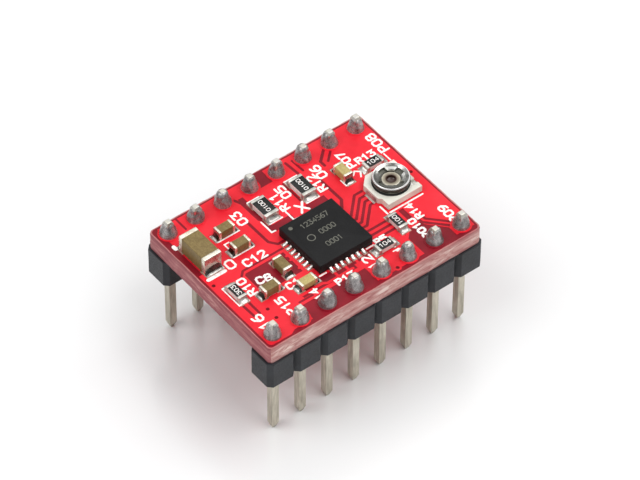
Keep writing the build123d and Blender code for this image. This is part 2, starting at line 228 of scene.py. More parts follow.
def wander(point, scale, seed):
    """Smooth signed noise at a point given in millimetres."""
    return noise.noise(Vector(point) * scale + Vector((seed * 7.1, seed * 3.7, seed * 1.9)))


def mend(mesh, weld=0.0):
    """Turns the faces outwards, after joining the points that lie within a weld distance."""
    work = bmesh.new()
    work.from_mesh(mesh)
    if weld:
        bmesh.ops.remove_doubles(work, verts=work.verts, dist=weld)
    bmesh.ops.recalc_face_normals(work, faces=work.faces)
    work.to_mesh(mesh)
    work.free()


def make_piece(name, sketch, materials, body="module", replaces=(), soft=35):
    """Turns a sketch into a piece that rides on a body."""
    piece = sketch.build(name, materials)
    mend(piece.data)
    piece.data.shade_smooth()
    piece.data.set_sharp_from_angle(angle=math.radians(soft))
    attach(piece, body)
    if replaces:
        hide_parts(*replaces)
    return piece


def soften(thing, width, segments=2):
    """Rounds the edges of an object by a width in millimetres."""
    bevel = thing.modifiers.new("rounding", "BEVEL")
    bevel.width = width * MM
    bevel.segments = segments
    bevel.limit_method = "ANGLE"
    bevel.angle_limit = math.radians(30)
    bevel.harden_normals = True


def plate(sketch, outline, shapes, levels, surface, side, base):
    """Closed relief skin within an outline.

    shapes are (kind, outline) pairs, and the last one drawn over a spot decides its kind. levels gives the
    height of each kind over the surface, base how far down the skin reaches, and side is 1 for a top face
    and -1 for an underside. The faces of a kind take the skin number of its place in levels.
    """
    kinds = list(levels)
    drawn = [kinds[0]] + [kind for kind, _ in shapes]
    points, polygons = [], []
    for polygon in [outline] + [polygon for _, polygon in shapes]:
        polygons.append(list(range(len(points), len(points) + len(polygon))))
        points += [Vector(point) for point in anticlockwise(polygon)]
    flat, _, triangles, _, _, origins = delaunay_2d_cdt(points, [], polygons, 1, 1e-5, True)
    kept = [(t, drawn[max(origin)]) for t, origin in zip(triangles, origins) if 0 in origin]
    places, vertices = {}, []

    def vertex(i, kind):
        if (i, kind) not in places:
            height = -base if kind is None else levels[kind]
            places[i, kind] = len(vertices)
            vertices.append((flat[i].x, flat[i].y, surface + side * height))
        return places[i, kind]

    beside, meeting = {}, {}
    for triangle, kind in kept:
        for i in range(3):
            beside[triangle[i], triangle[(i + 1) % 3]] = kind
            meeting.setdefault(triangle[i], set()).add(kind)

    def climb(i, low, high):
        bottom = -base if low is None else levels[low]
        between = [kind for kind in kinds if kind in meeting[i] and bottom < levels[kind] < levels[high]]
        return [vertex(i, kind) for kind in (low, *sorted(between, key=levels.get), high)]

    by_kind = {kind: [] for kind in kinds}
    for triangle, kind in kept:
        by_kind[kind].append([vertex(i, kind) for i in triangle])
        by_kind[kind].append([vertex(i, None) for i in reversed(triangle)])
    for (a, b), kind in beside.items():
        other = beside.get((b, a))
        lower = other is None or levels[other] < levels[kind]
        if other != kind and lower:
            near = climb(a, other, kind)
            by_kind[kind].append(near[:1] + climb(b, other, kind) + near[:0:-1])
    start = len(sketch.points)
    sketch.points += vertices
    for skin, kind in enumerate(kinds):
        for face in by_kind[kind]:
            face = face if side > 0 else list(reversed(face))
            sketch.faces.append([start + i for i in face])
            sketch.skins.append(skin)


# ---------------------------------------------------------------- stroke lettering

# Strokes of each sign on a grid 4 wide and 6 high. Only digits and plain part letters are used.
SIGNS = {
    "0": [[(1, 0), (3, 0), (4, 1), (4, 5), (3, 6), (1, 6), (0, 5), (0, 1), (1, 0)]],
    "1": [[(0.8, 4.8), (2.2, 6), (2.2, 0)]],
    "2": [[(0, 5), (1, 6), (3, 6), (4, 5), (4, 3.8), (0, 0), (4, 0)]],
    "3": [[(0, 6), (4, 6), (2, 3.6), (3, 3.6), (4, 2.6), (4, 1), (3, 0), (1, 0), (0, 1)]],
    "4": [[(3, 0), (3, 6), (0, 1.8), (4, 1.8)]],
    "5": [[(4, 6), (0.2, 6), (0.2, 3.5), (3, 3.5), (4, 2.5), (4, 1), (3, 0), (0, 0)]],
    "6": [[(3.6, 6), (1.8, 5.6), (0, 3), (0, 1), (1, 0), (3, 0), (4, 1), (4, 2.3), (3, 3.3), (0.2, 3.2)]],
    "7": [[(0, 6), (4, 6), (1.4, 0)]],
    "8": [
        [(1, 3.2), (0.2, 4.2), (0.2, 5.2), (1, 6), (3, 6), (3.8, 5.2), (3.8, 4.2), (3, 3.2), (1, 3.2)],
        [(1, 3.2), (0, 2.2), (0, 1), (1, 0), (3, 0), (4, 1), (4, 2.2), (3, 3.2)],
    ],
    "9": [[(0.4, 0), (2.2, 0.4), (4, 3), (4, 5), (3, 6), (1, 6), (0, 5), (0, 3.7), (1, 2.7), (3.8, 2.8)]],
    "C": [[(4, 5), (3, 6), (1, 6), (0, 5), (0, 1), (1, 0), (3, 0), (4, 1)]],
    "P": [[(0, 0), (0, 6), (3, 6), (4, 5), (4, 3.8), (3, 2.8), (0, 2.8)]],
    "R": [[(0, 0), (0, 6), (3, 6), (4, 5), (4, 4), (3, 3), (0, 3)], [(2, 3), (4, 0)]],
}
SIGN_ADVANCE = 5.6
SIGN_STRETCH = 1.14


# Section of an ink line, as shares of its half width and its height
INK_CROWN = [(-1, -0.4), (-0.92, 0.35), (-0.6, 0.85), (0, 1), (0.6, 0.85), (0.92, 0.35), (1, -0.4)]
# Its round ends: share of the half width beyond the end, then shares of the width and the height there
INK_ENDS = ((0.98, 0.25, 0.5), (0.72, 0.72, 0.9))


def ink_line(sketch, points, width, z, height, side=1):
    """Raised ink line along points, rounded over its top and at its ends."""
    path = [Vector(point) for point in points]
    closed = (path[0] - path[-1]).length < 1e-6
    rings = []

    def ring(at, across, spread, rise=1.0):
        rings.append(
            [
                (at.x + across.x * s * spread, at.y + across.y * s * spread, z + side * height * h * rise)
                for s, h in INK_CROWN
            ]
        )

    def normal(a, b):
        run = (b - a).normalized()
        return Vector((run.y, -run.x))

    half = width / 2
    for i, at in enumerate(path):
        if closed:
            before = normal(path[i - 1] if i else path[-2], at)
            after = normal(at, path[i + 1] if i < len(path) - 1 else path[1])
        else:
            before = normal(path[i - 1], at) if i else normal(at, path[1])
            after = normal(at, path[i + 1]) if i < len(path) - 1 else before
        across = (before + after).normalized()
        reach = half / max(0.55, across.dot(after))
        if not closed and i == 0:
            back = Vector((after.y, -after.x))
            for away, spread, rise in INK_ENDS:
                ring(at + back * half * away, across, reach * spread, rise)
        ring(at, across, reach)
        if not closed and i == len(path) - 1:
            on = Vector((-before.y, before.x))
            for away, spread, rise in reversed(INK_ENDS):
                ring(at + on * half * away, across, reach * spread, rise)
    sketch.loft(rings)


def lettering(sketch, text, x, y, size, turn, z, weight=0.182, height=0.02, side=1, stretch=SIGN_STRETCH):
    """Stroke lettering centred on a point, size millimetres high over its ink."""
    unit = (size - weight) / 6
    wide = unit * stretch
    span = (len(text) * SIGN_ADVANCE - (SIGN_ADVANCE - 4)) * wide
    a = math.radians(turn)
    for place, sign in enumerate(text):
        for stroke in SIGNS[sign]:
            line = []
            for sx, sy in stroke:
                u = (place * SIGN_ADVANCE + sx) * wide - span / 2
                v = (sy - 3) * unit
                u = u if side > 0 else -u
                line.append((x + u * math.cos(a) - v * math.sin(a), y + u * math.sin(a) + v * math.cos(a)))
            ink_line(sketch, line, weight, z, height, side)


# ---------------------------------------------------------------- materials


class Paint:
    """Node material whose textures are placed in millimetres of the object."""

    def __init__(self, name, **sockets):
        self.material = bpy.data.materials.new(name)
        self.material.use_nodes = True
        self.tree = self.material.node_tree
        self.shader = self.tree.nodes["Principled BSDF"]
        for socket, value in sockets.items():
            self.shader.inputs[socket.replace("_", " ")].default_value = value
        self.place = self.tree.nodes.new("ShaderNodeTexCoord").outputs["Object"]

    def node(self, kind, **values):
        """New node with its properties set."""
        made = self.tree.nodes.new(kind)
        for key, value in values.items():
            setattr(made, key, value)
        return made

    def link(self, output, target):
        """Joins an output to an input."""
        self.tree.links.new(output, target)

    def drive(self, socket, output):
        """Feeds a socket of the shader."""
        self.link(output, self.shader.inputs[socket])

    def grain(self, scale, detail=3.0, stretch=(1, 1, 1), roughness=0.55, distortion=0.0):
        """Noise with about that many features in a millimetre."""
        mapping = self.node("ShaderNodeMapping")
        mapping.inputs["Scale"].default_value = [s / MM for s in stretch]
        texture = self.node("ShaderNodeTexNoise")
        texture.inputs["Scale"].default_value = scale
        texture.inputs["Detail"].default_value = detail
        texture.inputs["Roughness"].default_value = roughness
        texture.inputs["Distortion"].default_value = distortion
        self.link(self.place, mapping.inputs["Vector"])
        self.link(mapping.outputs["Vector"], texture.inputs["Vector"])
        return texture.outputs["Fac"]

    def reach(self, x, y, size):
        """Distance from an upright axis, as a share of a size in millimetres."""
        mapping = self.node("ShaderNodeMapping")
        mapping.inputs["Location"].default_value = (-x / size, -y / size, 0)
        mapping.inputs["Scale"].default_value = (1 / size / MM, 1 / size / MM, 0)
        length = self.node("ShaderNodeVectorMath", operation="LENGTH")
        self.link(self.place, mapping.inputs["Vector"])
        self.link(mapping.outputs["Vector"], length.inputs[0])
        return length.outputs["Value"]

    def rise(self, low, high):
        """Height as a share of the way between two levels in millimetres."""
        parts = self.node("ShaderNodeSeparateXYZ")
        share = self.node("ShaderNodeMapRange")
        share.inputs["From Min"].default_value = low * MM
        share.inputs["From Max"].default_value = high * MM
        self.link(self.place, parts.inputs["Vector"])
        self.link(parts.outputs["Z"], share.inputs["Value"])
        return share.outputs["Result"]

    def ramp(self, factor, *stops):
        """Colours or greys at places along a factor."""
        made = self.node("ShaderNodeValToRGB")
        steps = made.color_ramp.elements
        while len(steps) < len(stops):
            steps.new(0.5)
        for step, (at, colour) in zip(steps, stops):
            step.position = at
            step.color = (*colour, 1) if isinstance(colour, tuple) else (colour, colour, colour, 1)
        self.link(factor, made.inputs["Fac"])
        return made.outputs["Color"]

    def mix(self, factor, a, b, blend="MIX"):
        """Mix of two colour outputs."""
        made = self.node("ShaderNodeMix", data_type="RGBA", blend_type=blend)
        if isinstance(factor, float):
            made.inputs["Factor"].default_value = factor
        else:
            self.link(factor, made.inputs["Factor"])
        self.link(a, made.inputs["A"])
        self.link(b, made.inputs["B"])
        return made.outputs["Result"]

    def bump(self, height, depth, strength=1.0, under=None):
        """Bump of a depth in millimetres."""
        made = self.node("ShaderNodeBump")
        made.inputs["Distance"].default_value = depth * MM
        made.inputs["Strength"].default_value = strength
        self.link(height, made.inputs["Height"])
        if under:
            self.link(under, made.inputs["Normal"])
        self.drive("Normal", made.outputs["Normal"])
        return made.outputs["Normal"]

    def finish(self, base, fine, rough, span=(0.3, 0.7)):
        """Feeds the colour, and a roughness that follows a noise between the two ends of a span."""
        self.drive("Base Color", base)
        self.drive("Roughness", self.ramp(fine, (span[0], rough[0]), (span[1], rough[1])))
        return self.material


def mask_paint(name, deep, plain, bright):
    """Glossy solder mask whose red follows what lies under it."""
    paint = Paint(name, Specular_IOR_Level=0.16, Coat_Weight=0.05, Coat_Roughness=0.12)
    paint.bump(paint.grain(3.2, 3), 0.012, 0.5)
    base = paint.ramp(paint.grain(0.35, 4), (0.28, deep), (0.5, plain), (0.74, bright))
    return paint.finish(base, paint.grain(6, 2), (0.3, 0.44), (0.2, 0.8))


def fibre_paint(name, deep, plain, pale, stretch):
    """Cut glass laminate: pale torn layers along the cut, stained by the mask next to the top face and darker
    towards the bottom face.
    """
    paint = Paint(name, Specular_IOR_Level=0.3)
    layers = paint.grain(0.9, 4, stretch=(*stretch, 4.5), distortion=0.6)
    tufts = paint.grain(2.4, 5, stretch=(*stretch, 1.1), roughness=0.65, distortion=0.5)
    patches = paint.grain(0.35, 2)
    cut = paint.ramp(layers, (0.26, deep), (0.5, plain), (0.76, pale))
    torn = paint.ramp(tufts, (0.34, deep), (0.48, plain), (0.62, pale))
    streaks = paint.mix(paint.ramp(patches, (0.42, 0.35), (0.58, 0.85)), cut, torn)
    rise = paint.rise(BOTTOM, TOP)
    # Darker near both faces: mask stain at the top, and darker towards the bottom
    towards_faces = paint.ramp(rise, (0.0, 0.75), (0.28, 0.1), (0.62, 0.0), (0.82, 0.35), (1.0, 0.9))
    paint.bump(tufts, 0.04, 0.7, paint.bump(layers, 0.03, 0.6))
    base = paint.mix(towards_faces, streaks, paint.ramp(patches, (0.3, deep), (0.9, plain)))
    return paint.finish(base, tufts, (0.62, 0.85))


def film_paint(name, specular, cloud, dark, plain, rough):
    """Resin or thin mask with slow changes of tone."""
    paint = Paint(name, Specular_IOR_Level=specular)
    tone = paint.grain(*cloud)
    return paint.finish(paint.ramp(tone, (0.3, dark), (0.7, plain)), tone, rough)


def ink_paint():
    """White legend ink, a little thin in places."""
    paint = Paint("legend_ink", Specular_IOR_Level=0.4)
    thin = paint.grain(5.5, 3)
    paint.bump(paint.grain(14, 2), 0.006, 0.5)
    base = paint.ramp(thin, (0.3, (0.82, 0.6, 0.57)), (0.46, (0.93, 0.9, 0.87)), (0.8, (1, 0.99, 0.97)))
    return paint.finish(base, thin, (0.5, 0.68))


def metal_paint(
    name, dark, plain, bright, rough, scale=1.4, stretch=(1, 1, 1), pit=0.006, metallic=1.0, tin=None
):
    """Plated metal with streaks or clouds along a direction; tin is a colour it takes above the board."""
    paint = Paint(name, Metallic=metallic)
    streaks = paint.grain(scale, 4, stretch=stretch, distortion=0.4)
    fine = paint.grain(scale * 6, 3, stretch=stretch)
    base = paint.ramp(streaks, (0.3, dark), (0.5, plain), (0.72, bright))
    if tin:
        coated = paint.ramp(streaks, (0.35, bright), (0.6, tin))
        base = paint.mix(paint.ramp(paint.rise(TOP, TOP + 1), (0.2, 0.0), (0.4, 1.0)), base, coated)
    tone = paint.ramp(fine, (0.3, 0.78), (0.62, 1.0))
    paint.bump(fine, pit, 0.5)
    return paint.finish(paint.mix(0.3, base, tone, "MULTIPLY"), fine, rough, (0.25, 0.75))


def solder_paint():
    """Dull grey solder with frosted streaks and dark spots of old flux."""
    paint = Paint("solder", Metallic=0.5)
    streaks = paint.grain(1.9, 4, stretch=(1.6, 1.6, 0.4), distortion=0.3)
    frost = paint.grain(9, 3)
    greys = (0.28, (0.15, 0.135, 0.135)), (0.5, (0.29, 0.27, 0.27)), (0.74, (0.52, 0.49, 0.48))
    flux = paint.ramp(paint.grain(1.6, 2), (0.26, 0.3), (0.4, 1.0))
    paint.bump(frost, 0.006, 0.5, paint.bump(streaks, 0.04, 0.6))
    base = paint.mix(0.8, paint.ramp(streaks, *greys), flux, "MULTIPLY")
    return paint.finish(base, frost, (0.2, 0.36), (0.25, 0.7))


def eyelet_paint():
    """Terminal metal: bore painted dark as shade, dull warm flange with a paler rolled edge painted as a
    highlight, tinned beyond it.
    """
    paint = Paint("eyelet_metal", Metallic=0.4)
    # Rings out from the trimmer's axis: the dark middle is painted shade down the bore, the pale ring at the
    # rolled edge a painted highlight
    rings = paint.ramp(
        paint.reach(TRIMMER.x, TRIMMER.y, ROTOR_RADIUS),
        (0.28, (0.05, 0.022, 0.015)),
        (0.3, (0.2, 0.165, 0.12)),
        (0.38, (0.34, 0.3, 0.225)),
        (0.45, (0.5, 0.46, 0.36)),
        (0.49, (0.72, 0.68, 0.58)),
        (0.56, (0.6, 0.58, 0.53)),
    )
    tone = paint.ramp(paint.grain(1.6, 3), (0.32, 0.62), (0.6, 1.0))
    return paint.finish(paint.mix(0.8, rings, tone, "MULTIPLY"), paint.grain(8, 3), (0.28, 0.45))


def plastic_paint(name, dark, plain, rough, grain=9.0, depth=0.012, specular=0.5):
    """Moulded plastic with a fine skin and slow changes of tone."""
    paint = Paint(name, Specular_IOR_Level=specular)
    skin = paint.grain(grain, 3)
    paint.bump(skin, depth, 0.7)
    return paint.finish(paint.ramp(paint.grain(0.7, 4), (0.3, dark), (0.7, plain)), skin, rough)


def speckled_paint(name, dark, plain, pale, rough, specular=0.5):
    """Fired ceramic or silicon with fine specks."""
    paint = Paint(name, Specular_IOR_Level=specular)
    specks = paint.grain(7.0, 4, roughness=0.7)
    base = paint.ramp(specks, (0.3, dark), (0.5, plain), (0.72, pale))
    tone = paint.ramp(paint.grain(1.1, 3), (0.3, 0.86), (0.6, 1.0))
    paint.bump(specks, 0.008, 0.5)
    return paint.finish(paint.mix(0.8, base, tone, "MULTIPLY"), specks, rough)


MASK_BRIGHT = mask_paint("mask_over_copper", (0.64, 0.009, 0.02), (0.76, 0.016, 0.03), (0.84, 0.026, 0.042))
MASK_DARK = mask_paint("mask_over_laminate", (0.17, 0.003, 0.01), (0.22, 0.005, 0.014), (0.29, 0.008, 0.02))
FIBRE_SIDE = fibre_paint(
    "cut_laminate_side", (0.37, 0.09, 0.1), (0.6, 0.32, 0.29), (0.9, 0.72, 0.66), stretch=(0.3, 1)
)
FIBRE_END = fibre_paint(
    "cut_laminate_end", (0.23, 0.054, 0.07), (0.38, 0.125, 0.135), (0.56, 0.28, 0.265), stretch=(1, 0.3)
)
RESIN = film_paint("bare_resin", 0.4, (1.2, 3), (0.34, 0.1, 0.08), (0.55, 0.26, 0.2), (0.5, 0.65))
VIA = film_paint("via_mouth", 0.1, (5, 2), (0.1, 0.004, 0.007), (0.16, 0.007, 0.011), (0.35, 0.5))
INK = ink_paint()
COPPER = metal_paint("tinned_copper", (0.42, 0.4, 0.37), (0.66, 0.64, 0.6), (0.85, 0.83, 0.78), (0.25, 0.45))
GILT = metal_paint("gilt_copper", (0.5, 0.33, 0.14), (0.78, 0.56, 0.27), (0.9, 0.7, 0.4), (0.25, 0.42))
PIN = metal_paint(
    "pin_plating",
    (0.41, 0.375, 0.305),
    (0.55, 0.51, 0.42),
    (0.7, 0.66, 0.56),
    (0.3, 0.5),
    scale=1.6,
    stretch=(2.2, 2.2, 0.35),
    tin=(0.64, 0.63, 0.6),
)
SOLDER = solder_paint()
TOE_SOLDER = metal_paint("toe_solder", (0.5, 0.48, 0.46), (0.78, 0.76, 0.73), (0.93, 0.92, 0.89), (0.2, 0.36))
FILLET_SOLDER = metal_paint(
    "fillet_solder", (0.26, 0.24, 0.23), (0.5, 0.48, 0.45), (0.74, 0.72, 0.68), (0.22, 0.42), metallic=0.8
)
# Darker copy of the fillet solder for the steep part beside a capacitor's wall: painted dark reflection
SHADED_SOLDER = metal_paint(
    "shaded_solder", (0.04, 0.045, 0.04), (0.09, 0.095, 0.09), (0.2, 0.2, 0.19), (0.2, 0.34)
)
HEADER = plastic_paint(
    "header_plastic", (0.01, 0.011, 0.014), (0.021, 0.024, 0.03), (0.4, 0.58), specular=0.4
)
MOULDING = plastic_paint(
    "chip_moulding", (0.0085, 0.0085, 0.009), (0.013, 0.013, 0.0135), (0.5, 0.68), 13, 0.014, 0.17
)
CHIP_MARK = plastic_paint("laser_mark", (0.1, 0.1, 0.083), (0.19, 0.19, 0.16), (0.7, 0.85), 12, 0.01, 0.2)
LEAD = metal_paint("lead_plating", (0.5, 0.48, 0.45), (0.8, 0.78, 0.74), (0.95, 0.94, 0.9), (0.18, 0.35))
SILICON = speckled_paint("silicon", (0.05, 0.055, 0.07), (0.08, 0.085, 0.1), (0.14, 0.15, 0.18), (0.12, 0.25))
GOLD = metal_paint("bond_gold", (0.6, 0.4, 0.12), (0.85, 0.6, 0.22), (0.95, 0.76, 0.36), (0.15, 0.3))
CERAMIC = speckled_paint(
    "capacitor_ceramic", (0.145, 0.095, 0.03), (0.2, 0.14, 0.048), (0.275, 0.2, 0.08), (0.36, 0.52), 0.32
)
PALE_CERAMIC = speckled_paint(
    "pale_capacitor_ceramic", (0.34, 0.26, 0.08), (0.46, 0.37, 0.13), (0.56, 0.47, 0.2), (0.32, 0.5)
)
ALUMINA = speckled_paint("alumina", (0.68, 0.67, 0.62), (0.8, 0.79, 0.75), (0.9, 0.89, 0.86), (0.4, 0.6))
GLAZE = plastic_paint(
    "overcoat_glaze", (0.006, 0.007, 0.006), (0.012, 0.013, 0.012), (0.2, 0.34), 5, 0.01, 0.3
)
END_CAP = metal_paint(
    "end_cap_tin",
    (0.6, 0.55, 0.44),
    (0.8, 0.76, 0.64),
    (0.93, 0.9, 0.8),
    (0.22, 0.36),
    metallic=0.8,
    pit=0.004,
)
# Darker copy of the end-cap tin for the capacitors' outer end faces: painted dark reflection
END_FACE_REFLECTION = metal_paint(
    "end_face_painted_reflection",
    (0.3, 0.26, 0.22),
    (0.44, 0.38, 0.33),
    (0.6, 0.54, 0.47),
    (0.2, 0.34),
    metallic=0.85,
    pit=0.004,
)
RESISTOR_CAP = metal_paint(
    "resistor_end_tin", (0.34, 0.34, 0.3), (0.56, 0.56, 0.51), (0.8, 0.8, 0.75), (0.24, 0.4), metallic=0.7
)
CREAM = plastic_paint("trimmer_base", (0.64, 0.62, 0.54), (0.8, 0.78, 0.7), (0.45, 0.62), 7, 0.03)
FILM = plastic_paint("resistive_film", (0.012, 0.012, 0.012), (0.022, 0.022, 0.022), (0.5, 0.7))
ROTOR = metal_paint(
    "stamped_rotor", (0.16, 0.16, 0.145), (0.38, 0.38, 0.355), (0.8, 0.8, 0.77), (0.14, 0.26), 0.7, pit=0.002
)
# Paler copy of the rotor metal for the top of the rim: painted highlight
ROTOR_RIM = metal_paint(
    "rotor_rim_painted_highlight",
    (0.74, 0.74, 0.73),
    (0.86, 0.86, 0.85),
    (0.95, 0.95, 0.94),
    (0.2, 0.3),
    pit=0.002,
    metallic=0.5,
)
# Darker copy of the rotor metal for the cross recess floor, the rim's lower outer wall and the underside:
# painted shade
RECESS_SHADE = metal_paint(
    "rotor_recess_painted_shade",
    (0.04, 0.042, 0.034),
    (0.08, 0.08, 0.066),
    (0.17, 0.17, 0.145),
    (0.34, 0.5),
    metallic=0.6,
)
# Dark plug in the eyelet's bore: painted shade
BORE_SHADE = plastic_paint("eyelet_bore_shade", (0.035, 0.016, 0.012), (0.07, 0.036, 0.028), (0.2, 0.34), 4, 0.02)
STAMPED = metal_paint(
    "stamped_terminal", (0.4, 0.38, 0.35), (0.64, 0.61, 0.57), (0.84, 0.81, 0.76), (0.25, 0.45)
)
EYELET = eyelet_paint()
WIPER = metal_paint(
    "wiper_metal", (0.12, 0.12, 0.1), (0.22, 0.22, 0.19), (0.36, 0.36, 0.32), (0.25, 0.4), metallic=0.7
)


# ---------------------------------------------------------------- board

MASK_INSET = 0.13
MASK_LEVELS = {
    "copper": 0.03,
    "bare": 0.01,
    "open": 0.004,
    "via": 0.005,
    "over_land": 0.052,
    "over_bare_land": 0.052,
}
MASK_BASE = 0.02
CORNER = 0.35
RIM_STEP = 0.16
RIM_ROWS = 10
RIM_TEAR = 0.035
VIA_RADIUS = 0.15
OPENING = 0.06
JOINT_FOOT = 0.7


def board_outline(inset, step=None):
    """Board outline, drawn in by an inset; a step spreads points along its straight sides."""
    half = Vector((board_high.x - inset, board_high.y - inset))
    corners = rounded(half.x, half.y, CORNER, 5)
    if not step:
        return corners
    points = []
    for a, b in zip(corners, corners[1:] + corners[:1]):
        a, b = Vector(a), Vector(b)
        count = max(1, round((b - a).length / step))
        points += [tuple(a.lerp(b, i / count)) for i in range(count)]
    return points


def laminate():
    """Glass laminate with a torn, layered edge."""
    outline = [Vector(point) for point in board_outline(0, RIM_STEP)]
    rings = []
    for row in range(RIM_ROWS + 1):
        z = BOTTOM + (TOP - BOTTOM) * row / RIM_ROWS
        at_face = row in (0, RIM_ROWS)
        ring = []
        for point in outline:
            tear = 0.5 + 0.5 * wander((point.x, point.y, z * 2.6), 2.4, 1)
            tear += 0.35 * wander((point.x, point.y, z), 7, 2)
            reach = RIM_TEAR * max(0, tear) + (0.02 if at_face else 0)
            ring.append((point.x - math.copysign(reach, point.x), point.y - math.copysign(reach, point.y), z))
        rings.append(ring)
    sketch = Sketch()
    sketch.loft(rings)
    for number, face in enumerate(sketch.faces):
        sketch.skins[number] = 1 if abs(sketch.middle(face).x) > board_high.x - CORNER / 2 else 0
    make_piece("laminate", sketch, [FIBRE_SIDE, FIBRE_END], replaces=["circuit_board"], soft=50)


def wavy(outline, size, seed):
    """Outline with a slight hand-made wander."""
    return [
        (x + size * wander((x, y, 0), 0.9, seed), y + size * wander((x, y, 5), 0.9, seed)) for x, y in outline
    ]


def land_windows(margin):
    """Mask openings over every land on the component side."""
    windows = []
    for part in PARTS.values():
        reach = part.length / 2 + 0.32
        inner = part.length / 2 - part.cap
        for end in (-1, 1):
            corners = [(end * (inner - margin), -1), (end * (reach + margin), 1)]
            a = part.place(corners[0][0], -part.width / 2 - margin, 0)
            b = part.place(corners[1][0], part.width / 2 + margin, 0)
            windows.append(rectangle(min(a[0], b[0]), max(a[0], b[0]), min(a[1], b[1]), max(a[1], b[1])))
    outer, inner = CHIP_HALF + 0.42 + margin, CHIP_HALF - 0.5
    half = 0.14 + margin
    for offset in LEAD_OFFSETS:
        for end in (-1, 1):
            x0, x1 = sorted((CHIP.x + end * inner, CHIP.x + end * outer))
            windows.append(rectangle(x0, x1, CHIP.y + offset - half, CHIP.y + offset + half))
            y0, y1 = sorted((CHIP.y + end * inner, CHIP.y + end * outer))
            windows.append(rectangle(CHIP.x + offset - half, CHIP.x + offset + half, y0, y1))
    return windows


# Places with no copper under the mask, as filled outlines
BARE_AREAS = [
    rectangle(-9.87, -9.35, 1.5, 7.3),
    rectangle(-2.75, -2.3, 2.1, 5.9),
    rectangle(-2.75, -0.5, 1.6, 2.3),
    rectangle(0.9, 2.65, 1.6, 2.35),
    [(-6.95, -0.5), (-6.8, -0.38), (-3.3, -0.38), (-3.3, -2.75), (-6.95, -2.75)],
    [(-5.0, -4.2), (-4.85, -4.95), (0.1, -5.0), (0.1, -4.05), (-2.7, -4.05)],
    rectangle(0.1, 2.3, -4.6, -4.05),
    rectangle(-5.6, 0.5, -7.3, -5.35),
    [(4.9, -4.4), (4.9, -7.3), (8.0, -7.3), (8.0, -6.0), (6.75, -4.6), (6.7, -4.2)],
    rectangle(6.05, 6.5, -3.7, -2.35),
    rectangle(-0.6, 0.5, 5.8, 7.3),
    [(-8.0, -7.3), (-7.3, -6.93), (9.75, -6.93), (9.75, -7.3)],
]

# Narrow channels between copper areas: width, then the points of the route
CHANNELS = [
    (0.24, [(-3.58, 3.6), (-3.55, 1.1), (-3.1, 0.5), (-2.6, 0.5)]),
    (0.24, [(-3.0, 6.0), (-2.75, 5.4), (-2.72, 3.3)]),
    (0.2, [(-7.2, -0.42), (-6.82, -0.05), (-3.1, -0.05)]),
    (0.22, [(-8.9, -2.6), (-8.85, -4.1)]),
    (0.22, [(-8.35, -2.6), (-8.35, -4.1)]),
    (0.2, [(-5.4, -5.08), (-4.2, -5.08)]),
    (0.24, [(6.7, -3.9), (6.75, -4.35), (8.3, -6.0)]),
    (0.22, [(7.15, -3.9), (7.15, -4.2), (8.6, -5.75)]),
    (0.26, [(3.4, 3.7), (3.42, 1.15), (2.9, 0.45)]),
    (0.24, [(2.4, 6.7), (2.5, 5.3)]),
    (0.2, [(2.95, 6.6), (3.0, 5.3)]),
    (0.24, [(4.6, 4.7), (4.6, 5.2), (5.6, 6.1)]),
    (0.2, [(5.1, 4.9), (5.85, 5.6)]),
    (0.2, [(0.95, 2.9), (0.95, 5.1)]),
    (0.18, [(-7.6, 5.9), (-7.6, 7.1)]),
]

# Tracks laid over the bare areas
TRACKS = [
    (0.24, [(-5.15, -4.35), (-4.85, -4.62), (-2.9, -4.62), (-2.6, -4.82), (-0.2, -4.82)]),
    (0.26, [(5.3, -4.45), (4.5, -5.25)]),
    (0.24, [(-5.6, -5.3), (-4.3, -5.3), (-3.8, -5.8)]),
    (0.22, [(-1.3, -5.6), (-1.3, -7.1)]),
]

# Front pins whose lands stand clear of the copper
PINS_OFF_POUR = (3, 4, 7)

VIAS = [(-7.65, -4.15), (-7.65, -5.2), (-9.4, 0.1), (9.35, 0.2), (2.45, -6.8)]

# Dark channels of the bus beside the chip: the first ones bend up to the trimmer, the rest run straight
BUS_CHANNELS = 7
BUS_BENT = 4
BUS_RISE = 1.5
BUS_END = 5.15
BUS_WIDTH = 0.23


def bus():
    """Channels between the tracks that leave the chip's right side."""
    channels = []
    start = CHIP.x + CHIP_HALF + 0.2
    for i in range(BUS_CHANNELS):
        y = CHIP.y + LEAD_PITCH * (1.5 - i)
        if i < BUS_BENT:
            bend = start + 0.3 + 0.11 * i
            route = [(start, y), (bend, y), (bend + BUS_RISE, y + BUS_RISE), (BUS_END, y + BUS_RISE)]
        else:
            route = [(start, y), (BUS_END - 0.4, y)]
        channels.append((BUS_WIDTH, route))
    return channels


def fan_out():
    """Short tracks from the chip's front and left leads over the bare areas."""
    tracks = []
    edge = CHIP_HALF + 0.3
    for i, offset in enumerate(LEAD_OFFSETS):
        if i in (0, 2, 4, 5):
            tracks.append((0.22, [(CHIP.x + offset, CHIP.y - edge), (CHIP.x + offset, CHIP.y - edge - 0.7)]))
        if i in (1, 3, 4):
            tracks.append((0.22, [(CHIP.x - edge, CHIP.y + offset), (CHIP.x - edge - 0.5, CHIP.y + offset)]))
    return tracks


def mask_rim(seed):
    """Outline of a mask and its first shapes: bare laminate at the rim, with copper inside it."""
    outline = wavy(board_outline(MASK_INSET, 0.5), 0.035, seed)
    inner = wavy(board_outline(MASK_INSET + 0.16, 0.8), 0.03, seed + 1)
    return outline, [("bare", outline), ("copper", inner)]


def via_shapes(x, y):
    """Copper ring of a via and its mouth."""
    return [("copper", circle(x, y, VIA_RADIUS + 0.16, 20)), ("via", circle(x, y, VIA_RADIUS, 16))]


